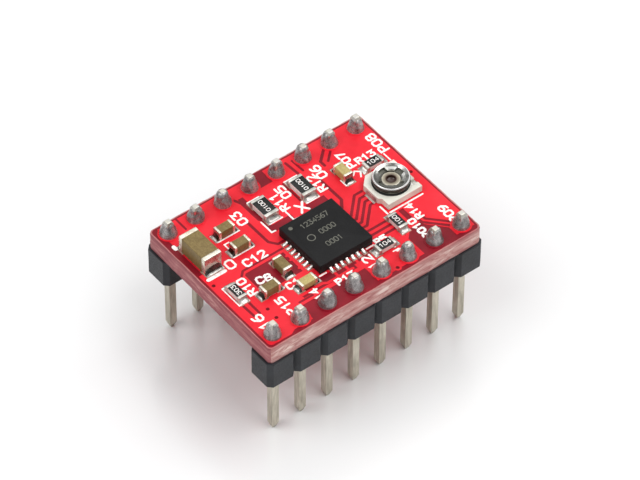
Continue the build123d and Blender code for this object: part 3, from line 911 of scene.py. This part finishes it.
def top_mask():
    """Solder mask on the component side, raised where copper lies under it."""
    outline, shapes = mask_rim(3)
    shapes += [("bare", area) for area in BARE_AREAS]
    for width, route in CHANNELS + bus():
        shapes += [("bare", bar) for bar in ribbon(route, width)]
    for width, route in TRACKS + fan_out():
        shapes += [("copper", bar) for bar in ribbon(route, width)]
    for number, pin in enumerate(PIN_PLACES["front"] + PIN_PLACES["rear"], 1):
        level = "over_bare_land" if number in PINS_OFF_POUR else "over_land"
        shapes.append((level, circle(pin.x, pin.y, BARREL + 0.03, 28)))
        shapes.append(("open", circle(pin.x, pin.y, JOINT_FOOT - 0.03, 28)))
    shapes += [("open", window) for window in land_windows(OPENING)]
    for place in VIAS:
        shapes += via_shapes(*place)
    sketch = Sketch()
    plate(sketch, outline, shapes, MASK_LEVELS, TOP, 1, MASK_BASE)
    paints = [MASK_BRIGHT, MASK_DARK, RESIN, VIA, MASK_BRIGHT, MASK_DARK]
    make_piece("solder_mask_top", sketch, paints, soft=25)


def underside_mask():
    """Solder mask on the underside, open over the heat area."""
    low, high = node_box("underside_heat_area")
    outline, shapes = mask_rim(6)
    for x in (-7.2, -5.9, 4.6, 6.0, 7.4):
        lean = 1.4 if x > 0 else -1.2
        route = [(x, -4.9), (x, -2.2), (x + lean, -2.2 + abs(lean)), (x + lean, 4.9)]
        shapes += [("bare", bar) for bar in ribbon(route, 0.62)]
        shapes += [("copper", bar) for bar in ribbon(route, 0.26)]
    for x, y in VIAS:
        if abs(y) < 4.6:
            shapes += via_shapes(x, y)
    shapes.append(("open", rectangle(low.x - OPENING, high.x + OPENING, low.y - OPENING, high.y + OPENING)))
    sketch = Sketch()
    plate(sketch, outline, shapes, MASK_LEVELS, BOTTOM, -1, MASK_BASE)
    make_piece("solder_mask_underside", sketch, [MASK_BRIGHT, MASK_DARK, RESIN, VIA], soft=25)


# Legend: text, X, Y, letter height, turn
LEGEND_TEXT = [
    ("16", -8.8, -4.87, 0.95, 90),
    ("P15", -6.4, -4.72, 0.82, 90),
    ("14", -3.9, -5.2, 0.75, 90),
    ("P13", -1.25, -5.25, 0.72, 0),
    ("12", 1.2, -5.15, 0.9, 90),
    ("11", 3.75, -5.2, 0.72, 90),
    ("P010", 6.2, -4.68, 0.72, 90),
    ("P09", 8.88, -4.87, 0.82, 90),
    ("03", -3.82, 4.3, 0.88, 90),
    ("05", 0.42, 4.45, 0.85, 90),
    ("06", 3.82, 4.45, 0.9, 90),
    ("P07", 6.2, 4.15, 0.78, 90),
    ("P08", 9.2, 4.13, 0.88, 90),
    ("0", -7.15, 1.05, 1.0, 0),
    ("C12", -5.35, 0.42, 0.84, 0),
    ("R10", -7.55, -1.48, 0.8, 90),
    ("R11", -0.45, 3.8, 0.8, 90),
    ("R12", 3.0, 3.62, 0.8, 90),
    ("R13", 7.58, 3.52, 0.74, 0),
    ("R14", 7.0, -3.1, 0.72, 90),
    ("C1", -4.65, -3.35, 0.78, 0),
    ("R5", 3.2, -3.85, 0.7, 0),
    ("C8", -6.05, -1.62, 0.8, -12),
]
LEGEND_LINES = [
    (0.34, [(-9.35, 0.78), (-7.85, 0.78)]),
    (0.34, [(-9.4, 4.75), (-9.4, 5.0)]),
    (0.13, [(-6.55, 3.35), (-4.55, 3.35)]),
    (0.13, [(-6.55, 1.42), (-4.65, 1.42)]),
    (0.13, [(-6.3, 2.2), (-6.3, 2.88), (-5.9, 2.88)]),
    (0.15, [(-2.75, 3.0), (-2.75, 1.72), (-2.42, 1.68)]),
    (0.15, [(-0.65, 3.0), (-0.65, 1.72), (-0.15, 1.68)]),
    (0.13, [(-2.4, 5.2), (-1.3, 5.2)]),
    (0.15, [(-2.35, 2.45), (-1.2, 2.45)]),
    (0.13, [(1.1, 5.2), (2.3, 5.2)]),
    (0.15, [(1.15, 2.45), (2.3, 2.45)]),
    (0.12, [(-8.2, -2.65), (-9.1, -2.65), (-9.1, -0.55), (-8.0, -0.55)]),
    (0.13, [(-7.45, -3.2), (-5.4, -3.2)]),
    (0.13, [(4.6, 2.72), (4.6, 2.05), (5.25, 2.02)]),
    (0.16, [(5.5, -2.12), (8.6, -2.12)]),
    (0.16, [(5.25, -2.1), (5.25, -1.2)]),
    (0.15, [(-2.65, -3.95), (-2.05, -3.95)]),
    (0.15, [(1.8, -3.93), (2.4, -3.93)]),
    (0.13, [(3.2, -5.35), (3.7, -5.35)]),
    (0.13, [(4.1, -5.35), (4.65, -5.4)]),
    (0.2, [(0.25, 1.9), (0.95, 2.8)]),
    (0.2, [(0.25, 2.8), (0.95, 1.9)]),
    (0.15, [(5.65, 2.55), (6.0, 2.85), (6.35, 2.55), (6.05, 2.1)]),
    (0.13, [(8.9, 2.1), (8.9, 2.9)]),
]
INK_HEIGHT = 0.022


def top_legend():
    """White legend on the component side: generic pin and part numbers with part outlines."""
    z = TOP + MASK_LEVELS["copper"]
    sketch = Sketch()
    for text, x, y, size, turn in LEGEND_TEXT:
        lettering(sketch, text, x, y, size, turn, z, height=INK_HEIGHT)
    for width, route in LEGEND_LINES:
        ink_line(sketch, route, width, z, INK_HEIGHT)
    make_piece("legend_top", sketch, [INK], soft=60)


def underside_legend():
    """White pin numbers along both header strips, and a frame round the heat area."""
    z = BOTTOM - MASK_LEVELS["copper"]
    low, high = node_box("underside_heat_area")
    sketch = Sketch()
    for row, first, step in (("front", 16, -1), ("rear", 1, 1)):
        for i, pin in enumerate(PIN_PLACES[row]):
            y = math.copysign(4.35, pin.y)
            lettering(sketch, str(first + step * i), pin.x, y, 0.85, 180, z, height=INK_HEIGHT, side=-1)
    reach = 0.35
    frame_line = rectangle(low.x - reach, high.x + reach, low.y - reach, high.y + reach)
    ink_line(sketch, frame_line + frame_line[:1], 0.15, z, INK_HEIGHT, -1)
    make_piece("legend_underside", sketch, [INK], soft=60)


# ---------------------------------------------------------------- pin joints

JOINT_STEPS = 28
JOINT_ROWS = 18
PIN_SHOWS = 0.12
JOINT_WAIST = 0.465
JOINT_CLOSED = 0.27
SHOULDER_AT = 0.76


def joint_radius(t):
    """Radius of a pin joint at a share t of its height: flared foot, steep flank, closed in on the pin."""
    flank = JOINT_WAIST + (JOINT_FOOT - JOINT_WAIST) * (1 - min(1, t / SHOULDER_AT)) ** 1.35
    flank += 0.04 * math.sin(math.pi * min(1, t / 0.7))
    onto_pin = max(0.0, (t - SHOULDER_AT) / (1 - SHOULDER_AT))
    return flank + (JOINT_CLOSED - flank) * onto_pin**2


def pin_joints(row, seed):
    """Solder mound round each pin of a row, each one a little different, with the pin's end left showing."""
    draw = random.Random(seed)
    sketch = Sketch()
    crown = node_box(f"{row}_pin_1")[1].z - PIN_SHOWS
    for number, pin in enumerate(PIN_PLACES[row]):
        lean = Vector((draw.uniform(-0.08, 0.08), draw.uniform(-0.08, 0.08)))
        swell = draw.uniform(0.93, 1.05)
        spin = draw.uniform(0, math.tau)
        height = (crown - SEAT) * draw.uniform(0.93, 1.12)
        rings = []
        for step in range(JOINT_ROWS + 1):
            t = step / JOINT_ROWS
            onto_pin = max(0.0, (t - 0.7) / 0.3)
            ring = []
            for i in range(JOINT_STEPS):
                a = math.tau * i / JOINT_STEPS
                ripple = 0.07 * math.sin(3 * a + spin + 2 * t) * t * (1.3 - t)
                ripple += 0.16 * wander((math.cos(a), math.sin(a), 1.7 * t), 1.2, seed + number)
                ripple += 0.1 * wander((math.cos(a), math.sin(a), 2 * t), 3.1, seed + number)
                radius = joint_radius(t) * swell * (1 + ripple * min(1, 3 * t) * (1 - 0.6 * onto_pin))
                away = t * (1 - onto_pin)
                x = pin.x + lean.x * away + radius * math.cos(a)
                y = pin.y + lean.y * away + radius * math.sin(a)
                climb = 0.05 * onto_pin * wander((math.cos(a), math.sin(a), 0), 1.6, seed + number + 9)
                ring.append((x, y, SEAT - 0.01 + height * t + climb))
            rings.append(ring)
        sketch.loft(rings)
    make_piece(f"{row}_pin_joints", sketch, [SOLDER], replaces=[f"{row}_pin_solder"], soft=55)


# ---------------------------------------------------------------- driver chip

BODY_INSET = 0.012
DIMPLE = (0.62, 0.17, 0.05)
CHIP_LINES = (("1234567", 0.08, 1.5), ("0000", 0.35, 0.28), ("0001", 0.0, -1.0))
CHIP_RING = (-1.2, 0.2, 0.3)


def chip_moulding():
    """Chip body with rounded upper edges and a pin-one dimple pressed into its top."""
    half = CHIP_HALF - BODY_INSET
    top = chip_high.z
    face = top - 0.001
    sketch = Sketch()
    outline = rounded(half, half, 0.06, 3)
    rings = []
    for inset, z in ((0.02, SEAT), (0, SEAT + 0.03), (0, top - 0.06), (0.012, top - 0.02), (0.045, face)):
        share = 1 - inset / half
        rings.append([(CHIP.x + x * share, CHIP.y + y * share, z) for x, y in outline])
    sketch.loft(rings, ends=(True, False))
    rim = [(x, y) for x, y, _ in rings[-1]]
    reach, radius, depth = DIMPLE
    at = (CHIP.x - half + reach, CHIP.y + half - reach)
    points = [Vector(point) for point in rim + circle(*at, radius, 20)]
    polygons = [list(range(len(rim))), list(range(len(rim), len(points)))]
    flat, _, triangles, _, _, origins = delaunay_2d_cdt(points, [], polygons, 1, 1e-5, True)
    upper = [triangle for triangle, origin in zip(triangles, origins) if 1 not in origin]
    sketch.add([(point.x, point.y, face) for point in flat], upper)
    rings = []
    for share, drop in ((1, 0), (0.9, 0.3), (0.75, 0.75), (0.45, 1), (0.05, 1.05)):
        rings.append([(x, y, face - depth * drop) for x, y in reversed(circle(*at, radius * share, 20))])
    sketch.loft(rings, 1, ends=(False, True))
    paints = [MOULDING, CHIP_MARK]
    replaced = ["driver_chip_body"]
    piece = make_piece("chip_moulding", sketch, paints, replaces=replaced, soft=40)
    mend(piece.data, 1e-4 * MM)


MARK_SIZE = 0.5
MARK_WIDTH = 0.07
MARK_HEIGHT = 0.006


def chip_marking():
    """Three short lines of plain digits and an open ring, laser marked on the chip."""
    z = chip_high.z
    sketch = Sketch()
    for text, dx, dy in CHIP_LINES:
        at = (CHIP.x + dx, CHIP.y + dy)
        lettering(sketch, text, *at, MARK_SIZE, 0, z, weight=MARK_WIDTH, height=MARK_HEIGHT, stretch=0.92)
    x, y, radius = CHIP_RING
    ring = circle(CHIP.x + x, CHIP.y + y, radius, 18)
    ink_line(sketch, ring + ring[:1], MARK_WIDTH, z, MARK_HEIGHT)
    make_piece("chip_marking", sketch, [CHIP_MARK], soft=60)


# Rows of a fillet next to its wall that count as steep
STEEP_ROWS = 4


def wedge(sketch, place, reach, width, rise, foot, bulge=0.0, seed=0, shaded=False):
    """Concave solder fillet from a wall out along a land.

    place(along, across, up) gives the frame's point, with along 0 at the wall. A shaded fillet takes the
    second skin, a painted dark reflection, over its steep part.
    """
    rings = []
    across_steps = 6
    for step in range(8):
        t = step / 7
        height = foot + (rise - foot) * (1 - t) ** 2.1
        half = width / 2 * (1 - 0.1 * t * t)
        ring = [place(reach * t, -half, 0)]
        for i in range(across_steps + 1):
            s = -1 + 2 * i / across_steps
            crown = (1 - abs(s) ** 3.2) ** 0.5
            lump = 1 + bulge * wander((t * 2, s, 0), 1.3, seed)
            ring.append(place(reach * t, s * half * 0.98, height * (0.35 + 0.65 * crown) * lump))
        ring.append(place(reach * t, half, 0))
        rings.append(ring)
    start = len(sketch.faces)
    sketch.loft(rings)
    if shaded:
        steep = range(start, start + STEEP_ROWS * len(rings[0]))
        for number in steep:
            sketch.skins[number] = 1


# Reach, width, rise and foot height of the solder toe at a lead
TOE = (0.43, 0.26, 0.19, 0.055)


def chip_toes():
    """Bright solder toe in front of each of the chip's leads."""
    sketch = Sketch()
    for side in range(4):
        a = math.radians(90 * side)
        for i, offset in enumerate(LEAD_OFFSETS):

            def place(along, across, up, offset=offset, a=a):
                x = CHIP_HALF - 0.02 + along
                y = offset + across
                return (
                    CHIP.x + x * math.cos(a) - y * math.sin(a),
                    CHIP.y + x * math.sin(a) + y * math.cos(a),
                    SEAT - 0.005 + up,
                )

            wedge(sketch, place, *TOE, 0.2, side * LEADS_PER_SIDE + i)
    make_piece("chip_solder_toes", sketch, [TOE_SOLDER], replaces=["driver_chip_solder"], soft=60)


# ---------------------------------------------------------------- chip resistors and capacitors


def block_rings(part, span, half_width, levels, radius, soft_ends, seed=0, lump=0.0):
    """Rings of a rounded block along a part, drawn in towards its soft ends."""
    middle = sum(levels) / 2
    half_height = (levels[1] - levels[0]) / 2
    turns = [math.radians(90 * i / 4) for i in range(5)]
    stations = []
    for end_at, sign, soft in zip(span, (1, -1), soft_ends):
        stations.append([(end_at + sign * soft * (1 - math.sin(a)), soft * (1 - math.cos(a))) for a in turns])
    rings = []
    for x, inset in stations[0][::-1] + [(sum(span) / 2, 0)] + stations[1]:
        ring = []
        for across, up in rounded(half_width - inset, half_height - inset, max(radius - inset / 2, 0.01), 4):
            bump = 1 + lump * wander((x, across, up), 3.2, seed)
            ring.append(part.place(x, across * bump, middle + up * bump))
        rings.append(ring)
    return rings


PALE_CAPACITORS = ("filter_capacitor", "logic_capacitor")


def capacitor_bodies():
    """Fired ceramic body of each capacitor, with rounded edges."""
    for number, name in enumerate(CAPACITORS):
        part = PARTS[name]
        paint = PALE_CERAMIC if name in PALE_CAPACITORS else CERAMIC
        span = (0.06 - part.length / 2, part.length / 2 - 0.06)
        levels = (WALL, part.height - WALL)
        sketch = Sketch()
        sketch.loft(block_rings(part, span, part.width / 2 - WALL, levels, 0.06, (WALL, WALL), number, 0.012))
        make_piece(f"{name}_ceramic", sketch, [paint], replaces=[name], soft=50)


# Share of a cap's edge radius, in from its end, that takes the second paint: on the capacitors a darker copy
# of the tin, a painted dark reflection
END_SHARE = 0.3


def end_caps(names, piece_name, node, paints, radius, share, seed):
    """Dipped and plated end caps, a little uneven; share is their width beside that of the CAD's caps."""
    sketch = Sketch()
    for number, name in enumerate(names):
        part = PARTS[name]
        outer = part.length / 2
        for end in (-1, 1):
            span = sorted((end * (outer - part.cap * share), end * outer))
            soft = (0.025, radius) if end > 0 else (radius, 0.025)
            levels = (0, part.height)
            first = len(sketch.faces)
            sketch.loft(block_rings(part, span, part.width / 2, levels, radius, soft, seed + number, 0.02))
            for place in range(first, len(sketch.faces)):
                off = sketch.middle(sketch.faces[place]) - part.centre
                # Faces at the very end take the second paint, on the capacitors a painted dark reflection
                if abs(off.x if part.along_x else off.y) > outer - radius * END_SHARE:
                    sketch.skins[place] = 1
    make_piece(piece_name, sketch, paints, replaces=[node], soft=55)


# Reach of a fillet, height of its foot, and how far it climbs: a share of the part, up to a top
FILLET_REACH = 0.34
FILLET_FOOT = 0.05
FILLET_SHARE = 0.66
FILLET_TOP = 0.72


def part_fillets():
    """Concave solder fillet at each end of every chip part."""
    sketch = Sketch()
    draw = random.Random(11)
    for number, (name, part) in enumerate(PARTS.items()):
        rise = min(part.height * FILLET_SHARE, FILLET_TOP)
        for end in (-1, 1):
            share = draw.uniform(0.85, 1.08)

            def place(along, across, up, part=part, end=end):
                x, y, z = part.place(end * (part.length / 2 - 0.03 + along), end * across, up)
                return (x, y, z - 0.005)

            # Capacitor fillets take a painted dark reflection on their steep part
            shaded = name in CAPACITORS
            size = (FILLET_REACH, part.width * 0.97, rise * share, FILLET_FOOT)
            wedge(sketch, place, *size, 0.3, number * 2 + end, shaded)
    paints = [FILLET_SOLDER, SHADED_SOLDER]
    make_piece("chip_part_fillets", sketch, paints, replaces=["chip_part_solder"], soft=60)


RESISTOR_CODES = {
    "sense_resistor_1": "0100",
    "sense_resistor_2": "0100",
    "timing_resistor": "303",
    "pull_up_resistor": "104",
    "divider_resistor": "100",
    "pull_down_resistor": "104",
}


# How far the glaze stands proud of the end caps
GLAZE_PROUD = 0.012


def overcoats():
    """Domed glossy glaze on each resistor, with a plain value code printed on it."""
    glaze = Sketch()
    codes = Sketch()
    for number, name in enumerate(RESISTORS):
        part = PARTS[name]
        half = part.length / 2 - part.cap * 0.64
        levels = (part.height - 0.07, part.height + GLAZE_PROUD)
        width = part.width * 0.475
        glaze.loft(block_rings(part, (-half, half), width, levels, 0.035, (0.05, 0.05), number, 0.01))
        code = RESISTOR_CODES[name]
        size = min(part.width * 0.58, 1.95 * half / len(code))
        turn = 0 if part.along_x else 90
        at = (part.centre.x, part.centre.y)
        lettering(codes, code, *at, size, turn, SEAT + levels[1], weight=0.06, height=0.008)
    make_piece("resistor_glaze", glaze, [GLAZE], replaces=["resistor_overcoats"], soft=50)
    make_piece("resistor_codes", codes, [INK], soft=60)


# ---------------------------------------------------------------- trimmer

ARM_HALF = 0.33
ARM_REACH = 1.1
ARM_FLOOR = 0.92
ARM_TURN = 8
ROTOR_UNDER = 0.88
EDGE = 0.018

# Section of the rotor as radius, height over the board and whether the cross is sunk into it there
ROTOR_SECTION = [
    (0.79, ROTOR_UNDER, False),
    (1.18, ROTOR_UNDER, False),
    (1.28, 1.02, False),
    (1.46, 1.02, False),
    (1.48, 1.05, False),
    (1.476, 1.12, False),
    (1.45, 1.2, False),
    (1.42, 1.255, False),
    (1.385, 1.28, False),
    (1.345, 1.275, False),
    (1.3, 1.245, False),
    (1.2, 1.2, False),
    (ARM_REACH + EDGE, 1.155, False),
    (ARM_REACH - EDGE, 1.15, True),
    (1.0, 1.125, True),
    (0.9, 1.105, True),
    (0.81, 1.085, True),
    (0.79, 1.065, True),
]
ROTOR_RIM_INNER = 1.33
ROTOR_WALL = 1.21


def rotor_ring(radius, height, sunk):
    """Points round the rotor: each quarter runs over half an arm, a lobe and half the next arm."""
    arm = math.asin(ARM_HALF / radius)
    edge = EDGE / radius
    quarter = math.pi / 2
    ring = []
    for turn in range(4):
        start = math.radians(ARM_TURN) + turn * quarter
        places = [(start + (arm - edge) * share, sunk) for share in (0, 0.5, 0.85, 1)]
        lobe = quarter - 2 * (arm + edge)
        places += [(start + arm + edge + lobe * share, False) for share in (0, 0.15, 0.3, 0.5, 0.7, 0.85, 1)]
        places += [(start + quarter - (arm - edge) * share, sunk) for share in (1, 0.85, 0.5)]
        for a, low in places:
            z = TOP + (ARM_FLOOR if low else height)
            ring.append((TRIMMER.x + radius * math.cos(a), TRIMMER.y + radius * math.sin(a), z))
    return ring


def trimmer_dish():
    """Stamped rotor: rolled rim, sloping dish and a cross recess for a screwdriver; the rim is painted pale
    as a highlight, and the recess floor, the rim's lower outer wall and the underside are painted dark as
    shade.
    """
    sketch = Sketch()
    sketch.loft([rotor_ring(*station) for station in ROTOR_SECTION], hoop=True)
    # Low faces take painted shade, the upper rim a painted highlight
    for number, face in enumerate(sketch.faces):
        on_rim = (sketch.middle(face).xy - TRIMMER.xy).length > ROTOR_RIM_INNER
        shade_below = ROTOR_WALL if on_rim else ARM_FLOOR + 0.01
        if max(sketch.points[i][2] for i in face) < TOP + shade_below:
            sketch.skins[number] = 2
        elif on_rim:
            sketch.skins[number] = 1
    paints = [ROTOR, ROTOR_RIM, RECESS_SHADE]
    replaced = ["trimmer_rotor"]
    make_piece("rotor_dish", sketch, paints, body="rotor", replaces=replaced, soft=38)


# Section of the dark plug of painted shade in the eyelet's bore, as radius and height over the board
BORE_SHADE_SECTION = [
    (0.33, 0.42),
    (0.352, 0.46),
    (0.352, 0.74),
    (0.335, 0.72),
    (0.26, 0.68),
    (0.14, 0.655),
    (0.03, 0.65),
]


def eyelet_bore_shade():
    """Dark plug in the eyelet's bore, hollow on top: painted shade down the bore."""
    sketch = Sketch()
    rings = []
    for radius, height in BORE_SHADE_SECTION:
        rings.append([(x, y, TOP + height) for x, y in circle(TRIMMER.x, TRIMMER.y, radius, 28)])
    sketch.loft(rings)
    make_piece("eyelet_bore_shade", sketch, [BORE_SHADE], soft=50)


# ---------------------------------------------------------------- CAD nodes that stay


def dress_node(name, material, rounding=0.0):
    """Gives a CAD node its material and, where wanted, rounded edges."""
    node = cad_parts[name]
    if not node.material_slots:
        node.data.materials.append(material)
    for place in node.material_slots:
        place.material = material
    if rounding:
        join = node.modifiers.new("joined", "WELD")
        join.merge_threshold = 1e-4 * MM
        soften(node, rounding)


# Material and edge rounding of the other CAD nodes that show
NODE_FINISHES = {
    "plated_holes": (SOLDER, 0.0),
    "component_lands": (COPPER, 0.0),
    "underside_heat_area": (GILT, 0.0),
    "driver_chip_leads": (LEAD, 0.0),
    "driver_chip_heat_pad": (LEAD, 0.0),
    "driver_chip_die": (SILICON, 0.0),
    "driver_chip_bond_wires": (GOLD, 0.0),
    "trimmer_base": (CREAM, 0.045),
    "trimmer_end_terminals": (STAMPED, 0.02),
    "trimmer_wiper_terminal": (EYELET, 0.02),
    "trimmer_track": (FILM, 0.0),
    "trimmer_wiper": (WIPER, 0.01),
    "trimmer_solder": (FILLET_SOLDER, 0.02),
}


def dress_nodes():
    """Materials and edge rounding of the CAD nodes that show."""
    for row in ("front", "rear"):
        dress_node(f"{row}_header_strip", HEADER, 0.05)
        for i in range(PINS):
            dress_node(f"{row}_pin_{i + 1}", PIN, 0.035)
    for name in RESISTORS:
        dress_node(name, ALUMINA, 0.02)
    for name, finish in NODE_FINISHES.items():
        dress_node(name, *finish)


# ---------------------------------------------------------------- stage

FOCUS = Vector((0, 0, 8))
AZIMUTH = -38.305
ELEVATION = 47.451
ROLL = 0.323
DISTANCE = 325.72
FRAMING = (0.382, 0.719)
LENS = 244.47


def facing(azimuth, elevation):
    """Direction from the object towards a viewer or a light."""
    a, e = math.radians(azimuth), math.radians(elevation)
    return Vector((math.sin(a) * math.cos(e), -math.cos(a) * math.cos(e), math.sin(e)))


def add_camera():
    """Camera at the viewing angle of the reference."""
    back = facing(AZIMUTH, ELEVATION)
    roll = math.radians(ROLL)
    right = (-back).cross(Vector((0, 0, 1))).normalized()
    up = right.cross(-back)
    side = math.cos(roll) * right + math.sin(roll) * up
    rise = math.cos(roll) * up - math.sin(roll) * right
    camera = add_object("camera", bpy.data.cameras.new("camera"))
    camera.data.lens = LENS
    camera.data.sensor_width = 36
    camera.data.clip_start, camera.data.clip_end = 0.01, 5
    camera.matrix_world = Matrix((side, rise, back)).transposed().to_4x4()
    camera.location = (FOCUS + back * DISTANCE + side * FRAMING[0] + rise * FRAMING[1]) * MM
    bpy.context.scene.camera = camera


# Soft lights: azimuth, elevation, distance, size and power
LIGHTS = {
    "left": (-108, 53, 0.6, 0.36, 1.45),
    "right": (75, 60, 0.6, 0.36, 1.15),
    "front": (15, 58, 0.6, 0.3, 1.0),
    "back": (142, 60, 0.9, 0.6, 1.3),
}


def add_lights():
    """Square soft lights aimed at the object."""
    for name, (azimuth, elevation, distance, size, power) in LIGHTS.items():
        lamp = bpy.data.lights.new(name, "AREA")
        lamp.size = size
        lamp.energy = power
        light = add_object(name, lamp)
        back = facing(azimuth, elevation)
        light.location = FOCUS * MM + back * distance
        light.rotation_mode = "QUATERNION"
        light.rotation_quaternion = (-back).to_track_quat("-Z", "Y")


FLOOR_REACH = 900
FLOOR_LEVEL = -0.02
SURROUNDINGS = 0.46


def add_stage():
    """Pale glossy floor and white surroundings."""
    paint = Paint("floor_white", Specular_IOR_Level=0.5)
    cloud = paint.grain(0.02, 2)
    white = paint.ramp(cloud, (0.3, (0.77, 0.77, 0.775)), (0.7, (0.8, 0.8, 0.8)))
    corners = rectangle(-FLOOR_REACH, FLOOR_REACH, -FLOOR_REACH, FLOOR_REACH)
    sketch = Sketch()
    sketch.add([(x, y, FLOOR_LEVEL) for x, y in corners], [[0, 1, 2, 3]])
    floor = sketch.build("floor", [paint.finish(white, cloud, (0.16, 0.2))])
    world = bpy.data.worlds.new("surroundings")
    world.use_nodes = True
    background = world.node_tree.nodes["Background"]
    background.inputs["Color"].default_value = (1, 1, 1, 1)
    background.inputs["Strength"].default_value = SURROUNDINGS
    bpy.context.scene.world = world
    bpy.context.scene.view_settings.view_transform = "Standard"


# ---------------------------------------------------------------- build

laminate()
top_mask()
underside_mask()
top_legend()
underside_legend()
pin_joints("front", 3)
pin_joints("rear", 21)
chip_moulding()
chip_marking()
chip_toes()
capacitor_bodies()
end_caps(CAPACITORS, "capacitor_plating", "capacitor_end_caps", [END_CAP, END_FACE_REFLECTION], 0.07, 0.76, 40)
end_caps(RESISTORS, "resistor_plating", "resistor_end_caps", [RESISTOR_CAP, RESISTOR_CAP], 0.04, 0.84, 60)
part_fillets()
overcoats()
trimmer_dish()
eyelet_bore_shade()
dress_nodes()
add_camera()
add_stage()
add_lights()
